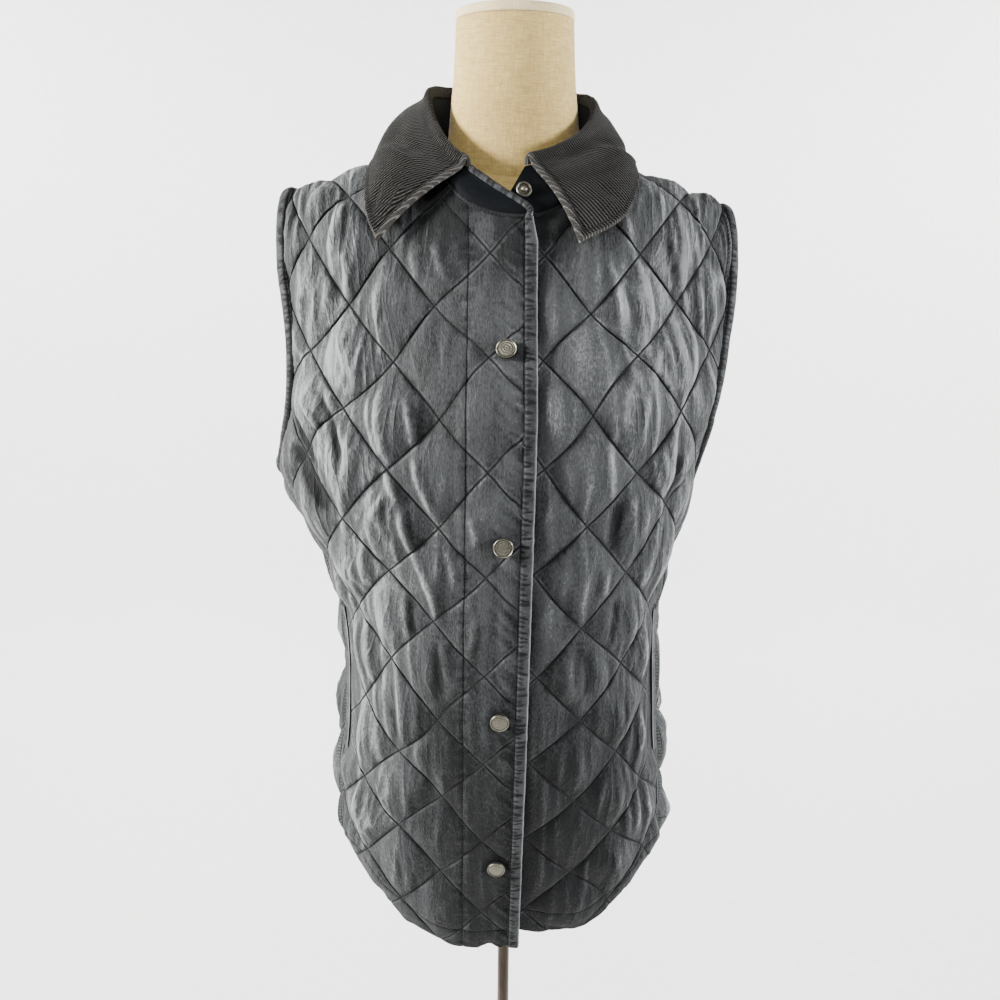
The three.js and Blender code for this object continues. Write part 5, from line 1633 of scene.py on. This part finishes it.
# Short calls for building a material's nodes
class Shader:
    def __init__(self, name):
        self.material = bpy.data.materials.new(name)
        self.material.use_nodes = True
        self.tree = self.material.node_tree
        self.surface = self.tree.nodes["Principled BSDF"]

    def node(self, kind, inputs=None, **settings):
        made = self.tree.nodes.new("ShaderNode" + kind)
        for key, value in settings.items():
            setattr(made, key, value)
        for key, value in (inputs or {}).items():
            self.put(made.inputs[key], value)
        return made

    def put(self, socket, value):
        value = value.socket if isinstance(value, Term) else value
        if isinstance(value, bpy.types.NodeSocket):
            self.tree.links.new(value, socket)
        else:
            socket.default_value = value

    def maths(self, operation, *values):
        made = self.node("Math", dict(enumerate(values)), operation=operation)
        return Term(self, made.outputs[0])

    def attribute(self, name):
        return Term(self, self.node("Attribute", attribute_name=name).outputs["Fac"])

    # Fabric measures of a piece of cloth, in units of 100 mm
    def cloth(self):
        return self.node("UVMap", uv_map="cloth").outputs["UV"]

    # Place on a hard piece, in metres
    def place(self):
        return self.node("TexCoord").outputs["Object"]

    # A colour between two others, each linked or given as red, green and blue
    def mix(self, share, a, b):
        made = self.node("Mix", data_type="RGBA")
        for place, value in zip((0, 6, 7), (share, a, b)):
            self.put(made.inputs[place], (*value, 1) if isinstance(value, tuple) else value)
        return made.outputs[2]

    # Noise at one scale, or at a scale for each axis
    def noise(self, vector, scale, detail=2, rough=0.5):
        if isinstance(scale, tuple):
            vector, scale = self.stretched(vector, scale), 1
        inputs = {"Vector": vector, "Scale": scale, "Detail": detail, "Roughness": rough}
        return Term(self, self.node("TexNoise", inputs).outputs["Fac"])

    def stretched(self, vector, scale):
        return self.node("VectorMath", {0: vector, 1: scale}, operation="MULTIPLY").outputs[0]

    def split(self, vector):
        return [Term(self, part) for part in self.node("SeparateXYZ", {"Vector": vector}).outputs]

    def bump(self, height, strength, distance):
        inputs = {"Height": height, "Strength": strength, "Distance": distance}
        return self.node("Bump", inputs).outputs["Normal"]

    def set(self, **values):
        for key, value in values.items():
            self.put(self.surface.inputs[key.replace("_", " ")], value)
        return self.material


# A row of stitches at a distance from its line: its thread, the pits at its holes, its shade
def stitches(distance, along, wide=0.6):
    thread = 1 - distance.step(wide * 0.5, wide * 1.5)
    pit = 1 - along.folded(STITCH_PITCH / 2).step(STITCH_PITCH * 0.08, STITCH_PITCH * 0.24)
    return thread, pit, 1 - distance.step(0.3, 2.6)


# Distance from each row of stitches in the quilted cloth, and place along it
def stitch_rows(s, cloth, seam, hem):
    across, up, _ = s.split(cloth)
    k = across * (100 / CELL_U) - LATTICE_U / CELL_U
    j = up * (100 / CELL_V) - LATTICE_V / CELL_V
    wander = s.noise(cloth, 3.1, 1) - 0.5
    rows = []
    for sign in (-1, 1):
        line = (k * sign + j) / LINE_CELLS + wander * 0.02
        rows.append((line.folded(0.5) * LINE_GAP, (k * -sign + j) * (math.hypot(CELL_U, CELL_V) / 2)))
    rows.append((abs(s.attribute("front")), up * 100))
    rows.append((abs(hem - HEM_STITCH), across * 100))
    for place in SEAM_STITCHES:
        rows.append((abs(seam - place), up * 100))
    return rows


# Washed cotton over padding: stitched lines, fine streaks, weave, wear on the crests, and the painted light
# and shade of the panels, with a painted highlight beside the lattice lines
def quilted_cloth():
    s = Shader("quilted_cloth")
    cloth = s.cloth()
    seam, hem, wear_and_painted_light, loose = (s.attribute(key) for key in ("seam", "hem", "wear_and_painted_light", "loose"))
    rows = stitch_rows(s, cloth, seam, hem)
    thread, pit, shade = 0.0, 0.0, 0.0
    for distance, along in rows:
        one, hole, soft = stitches(distance, along)
        thread = one.larger(thread)
        pit = (one * hole).larger(pit)
        shade = soft.larger(shade)
    near = rows[0][0].maths("MINIMUM", rows[1][0])
    patchy = s.noise(cloth, (3, 3, 1), 1).step(0.35, 0.6)
    # Paler patchy band beside the lattice lines: partly wear, partly painted highlight where the padding
    # rises from the line
    worn_and_lit_lip = (near.step(0.6, 1.2) - near.step(1.5, 3.4)) * patchy
    bar = (seam * 0.5 + s.split(cloth)[1] * 100).folded(1.8).step(0.5, 1.3)
    between = seam.step(2.4, 3.4) * (1 - seam.step(8.6, 9.6)) * bar
    streak = s.noise(cloth, (46, 7, 1), 3, 0.6)
    hair = s.noise(cloth, (80, 30, 1), 3, 0.7)
    speck = s.noise(cloth, (75, 24, 1), 3, 0.8)
    patch = s.noise(cloth, (1.6, 1.1, 1))
    crinkle = s.noise(cloth, (8.5, 2.1, 1), 1, 0.45).ridge()
    small = s.noise(cloth, (19, 6.5, 1)).ridge()
    paleness = wear_and_painted_light * 0.42 + streak * 0.26 + crinkle**3 * loose * 0.4 + worn_and_lit_lip * 0.5 - between * 0.5 + 0.08
    paleness = paleness + (hair - 0.5) * 1.1 + (patch - 0.5) * 0.45 + (speck - 0.5) * 1.2
    # The deep colour also gives painted shade, and the rubbed colour painted highlights
    base = s.mix(paleness.step(-0.35, 0.5), SHELL["deep"], SHELL["plain"])
    base = s.mix(paleness.step(0.45, 1.4), base, SHELL["rubbed_and_painted_light"])
    base = s.mix(shade * 0.1, base, SHELL["shade"])
    base = s.mix(thread * 0.9, base, SHELL["thread"])
    inputs = {"Vector": s.stretched(cloth, (1, 0.35, 1)), "Scale": 42, "Distortion": 1.2}
    inputs.update({"Detail": 1, "Detail Scale": 3})
    weave = Term(s, s.node("TexWave", inputs, bands_direction="X").outputs["Fac"])
    height = streak * 0.5 + hair * 0.5 + speck * 0.6 + weave * 0.1 + crinkle * loose * 3.6
    height = height + small * (loose * 0.7 + 0.3) * 1.2 - thread * 1.1 - pit * 0.9
    return s.set(
        Base_Color=base, Roughness=paleness.step(0, 1) * -0.14 + 0.78, Sheen_Weight=0.05, Sheen_Roughness=0.4,
        Specular_IOR_Level=0.16, Normal=s.bump(height, 1.0, 0.0012),
    )


# Narrow strips of the same cloth: darker in their puckers as painted shade, pale where the edge has rubbed
def edge_cloth():
    s = Shader("edge_cloth")
    cloth = s.cloth()
    across, depth = s.attribute("across"), s.attribute("depth")
    patch = s.noise(cloth, (6, 5, 1), 3, 0.6)
    hair = s.noise(cloth, (60, 190, 1), 2, 0.6)
    # Darker with the puckers' depth, as painted shade in them
    paleness = across.step(0.84, 0.98) * 0.7 + patch * 0.8 - depth * 0.8 + (hair - 0.5) * 0.6 - 0.22
    base = s.mix(paleness.step(-0.1, 0.5), EDGING["deep"], EDGING["plain"])
    base = s.mix(paleness.step(0.45, 1.15), base, EDGING["rubbed_and_painted_light"])
    thread, pit, _ = stitches(abs(across - STRIP["stitch"]) * 8, s.split(cloth)[1] * 100)
    base = s.mix(thread * 0.85, base, EDGING["thread"])
    return s.set(
        Base_Color=base, Roughness=0.78, Sheen_Weight=0.05, Sheen_Roughness=0.45,
        Specular_IOR_Level=0.16, Normal=s.bump(patch + hair * 0.6 - pit * 0.8, 0.7, 0.0005),
    )


# Fine corduroy: round wales with grooves darkened as painted shade, wale tops paler as wear and painted
# highlight, worn pale along the folded rim
def corduroy_cloth():
    s = Shader("corduroy_cloth")
    cloth = s.cloth()
    wale, rim = s.attribute("wale"), s.attribute("rim")
    nap = s.noise(cloth, (90, 90, 1), 3, 0.65)
    patch = s.noise(cloth, (3.2, 4, 1))
    edge = 1 - rim.step(1.4, 3.6)
    pile = (((patch - 0.5) * 0.5 + wale).folded(0.5) * 2).step(0.4, 1)
    ribs = pile.larger(edge * 0.28)
    paleness = edge * 0.32 + patch * 0.7 + (nap - 0.5) * 0.7 - 0.1
    crest = s.mix(paleness.step(0, 1.1), CORDUROY["plain"], CORDUROY["rubbed_and_painted_light"])
    base = s.mix(ribs, CORDUROY["shaded_groove"], crest)
    thread, pit, _ = stitches(abs(rim - 5.8), s.attribute("run"), 0.7)
    base = s.mix(thread * 0.8, base, CORDUROY["thread"])
    return s.set(
        Base_Color=base, Roughness=0.86, Sheen_Weight=0.06, Sheen_Roughness=0.35,
        Specular_IOR_Level=0.12, Normal=s.bump(nap * 0.25 + ribs - pit * 0.8, 1.0, 0.0009),
    )


# Dark navy twill of the collar's stand, darkened further as painted shade under the collar
def stand_twill():
    s = Shader("stand_twill")
    cloth = s.cloth()
    across, up, _ = s.split(cloth)
    twill = ((across + up) * 100).folded(0.45)
    patch = s.noise(cloth, (5, 8, 1), 3, 0.6)
    hair = s.noise(cloth, (160, 160, 1), 2, 0.6)
    paleness = hair * 0.7 + patch * 0.6
    base = s.mix(paleness.step(0.3, 1.1), SHADED_TWILL["deep"], SHADED_TWILL["plain"])
    thread, _, _ = stitches(abs(s.attribute("run") - 3.5), across * 100)
    base = s.mix(thread * 0.6, base, SHADED_TWILL["thread"])
    return s.set(
        Base_Color=base, Roughness=0.8, Sheen_Weight=0.01, Sheen_Roughness=0.4,
        Specular_IOR_Level=0.08, Normal=s.bump(twill * 0.9 + hair, 0.5, 0.0003),
    )


# Plated metal, dull and scratched, with painted shade in its groove and the stud's hollow, and a painted
# shadow round the cap's outer edge
def worn_nickel():
    s = Shader("worn_nickel")
    face, radius = s.attribute("face"), SNAP["radius"]
    stain = s.noise(s.place(), 1500, 3, 0.65)
    scratch = s.noise(s.place(), (900, 900, 2600), 2, 0.7)
    shaded_groove = abs(face - (radius - 1.35 * SNAP["rim"]))
    # Painted shade at the foot of the rim and a painted shadow round the outer edge
    painted_shade = (1 - shaded_groove.step(0.1, 0.75)).larger(face.step(radius - 0.5, radius - 0.05))
    base = s.mix(stain.step(0.2, 0.85), NICKEL["stained"], NICKEL["bright"])
    base = s.mix(painted_shade.larger(s.attribute("hollow")) * 0.85, base, NICKEL["painted_shade"])
    return s.set(
        Base_Color=base, Metallic=0.9, Roughness=scratch * 0.3 + 0.26,
        Normal=s.bump(stain * 0.6 + scratch, 0.35, 0.0002),
    )


# Unbleached linen: plain weave with slubs and uneven patches
def linen_cover():
    s = Shader("linen_cover")
    place = s.place()
    warp = s.noise(place, (1500, 1500, 120), 2, 0.6)
    weft = s.noise(place, (130, 130, 1500), 2, 0.6)
    slub = s.noise(place, (60, 60, 420), 3, 0.7)
    patch = s.noise(place, 9, 3, 0.55)
    thread = warp * 0.5 + weft * 0.5
    tone = thread + (slub - 0.5) * 0.3 + (patch - 0.5) * 0.35
    return s.set(
        Base_Color=s.mix(tone.step(0.25, 0.75), LINEN["deep"], LINEN["pale"]),
        Roughness=0.88, Sheen_Weight=0.15, Sheen_Roughness=0.5, Specular_IOR_Level=0.25,
        Normal=s.bump(slub * 0.5 + thread, 0.5, 0.0004),
    )


# Pale band and disc that close the neck
def cap_cover():
    s = Shader("cap_cover")
    weave = s.noise(s.place(), (1300, 1300, 500), 2, 0.6)
    tone = s.noise(s.place(), 30, 3, 0.6) * 0.6 + weave * 0.4
    return s.set(
        Base_Color=s.mix(tone.step(0.25, 0.75), CAP_CLOTH["deep"], CAP_CLOTH["pale"]),
        Roughness=0.8, Specular_IOR_Level=0.3, Normal=s.bump(weave, 0.4, 0.0003),
    )


# Bronze-brown tube, smooth, a little scratched
def pole_finish():
    s = Shader("pole_finish")
    smear = s.noise(s.place(), (160, 160, 14), 4, 0.6)
    scratch = s.noise(s.place(), (1800, 1800, 40), 2, 0.7)
    return s.set(
        Base_Color=s.mix(smear.step(0.3, 0.75), BRONZE["deep"], BRONZE["pale"]),
        Metallic=0.85, Roughness=scratch * 0.25 + 0.24, Normal=s.bump(scratch, 0.2, 0.0001),
    )


# Dark painted plate with a fine grain, a little dusty
def base_finish():
    s = Shader("base_finish")
    grain = s.noise(s.place(), 900, 3, 0.7)
    dust = s.noise(s.place(), 14, 4, 0.6)
    return s.set(
        Base_Color=s.mix(dust.step(0.2, 0.9), PAINT["deep"], PAINT["pale"]),
        Metallic=0.35, Roughness=dust * 0.12 + 0.46, Normal=s.bump(grain, 0.35, 0.0002),
    )


def add_camera():
    data = bpy.data.cameras.new("camera")
    data.lens = CAMERA["lens"]
    data.sensor_width = 36
    data.clip_start = 0.02
    camera = bpy.data.objects.new("camera", data)
    turn = Matrix.Rotation(math.radians(90 - CAMERA["pitch"]), 4, "X")
    roll = Matrix.Rotation(math.radians(CAMERA["roll"]), 4, "Z")
    camera.matrix_world = Matrix.Translation(Vector(CAMERA["place"]) * MM) @ turn @ roll
    bpy.context.scene.collection.objects.link(camera)
    bpy.context.scene.camera = camera


def add_light(name, place, target, size, energy, colour):
    data = bpy.data.lights.new(name, "AREA")
    data.shape = "DISK"
    data.size = size
    data.energy = energy
    data.color = colour
    light = bpy.data.objects.new(name, data)
    light.location = place
    aim = Vector(target) - Vector(place)
    light.rotation_euler = aim.to_track_quat("-Z", "Y").to_euler()
    bpy.context.scene.collection.objects.link(light)


def add_world():
    world = bpy.data.worlds.new("studio")
    world.use_nodes = True
    sky = world.node_tree.nodes["Background"].inputs
    sky["Color"].default_value = (0.95, 0.975, 1, 1)
    sky["Strength"].default_value = 0.08
    bpy.context.scene.world = world


# A pale floor that curves up into a round wall, greyer on the camera's side
def add_studio():
    s = Shader("studio_paper")
    paper = s.noise(s.place(), 60)
    pale = s.mix(paper.step(0.3, 0.7), PAPER["plain"], PAPER["pale"])
    base = s.mix(s.attribute("shade"), pale, PAPER["grey"])
    material = s.set(Base_Color=base, Roughness=0.9, Specular_IOR_Level=0.1)
    floor, curve = STUDIO["floor"], STUDIO["curve"]
    profile = [(0.05, 0), (floor / 2, 0), (floor, 0)]
    for turn in np.linspace(0.1, 1.5, 12):
        profile.append((floor + curve * math.sin(turn), curve * (1 - math.cos(turn))))
    profile += [(floor + curve, STUDIO[level]) for level in ("wall", "top")]
    angle = np.linspace(0, 2 * np.pi, STUDIO["sides"], endpoint=False)
    points = np.array([(r * math.cos(a), r * math.sin(a), z) for r, z in profile for a in angle])
    mesh = bpy.data.meshes.new("studio")
    open_faces = band_faces(len(profile), len(angle), False)[:-2]
    mesh.from_pydata(((points - 0.5 * UP) * MM).tolist(), [], open_faces)
    mesh.shade_smooth()
    shade = smooth(-points[:, 1], 0, 1500) * smooth(points[:, 2], -100, 400)
    mesh.attributes.new("shade", "FLOAT", "POINT").data.foreach_set("value", np.asarray(shade, np.float32))
    mesh.materials.append(material)
    studio = bpy.data.objects.new("studio", mesh)
    bpy.context.scene.collection.objects.link(studio)


def build():
    add_camera()
    for row in LIGHTS:
        add_light(*row)
    add_world()
    add_studio()
    shell, edge = quilted_cloth(), edge_cloth()
    for name in PANELS:
        add_panel(name, shell)
    for side in ("left", "right"):
        add_armhole_binding(side, edge)
        add_welt(side, edge)
    add_placket_binding(edge)
    add_stand(stand_twill())
    add_stand_edge(edge)
    add_stand_seam(edge)
    add_collar(corduroy_cloth())
    metal = worn_nickel()
    add_snaps(metal)
    add_stud(metal)
    add_form(linen_cover(), cap_cover())
    add_stand_metal(pole_finish(), base_finish())


build()
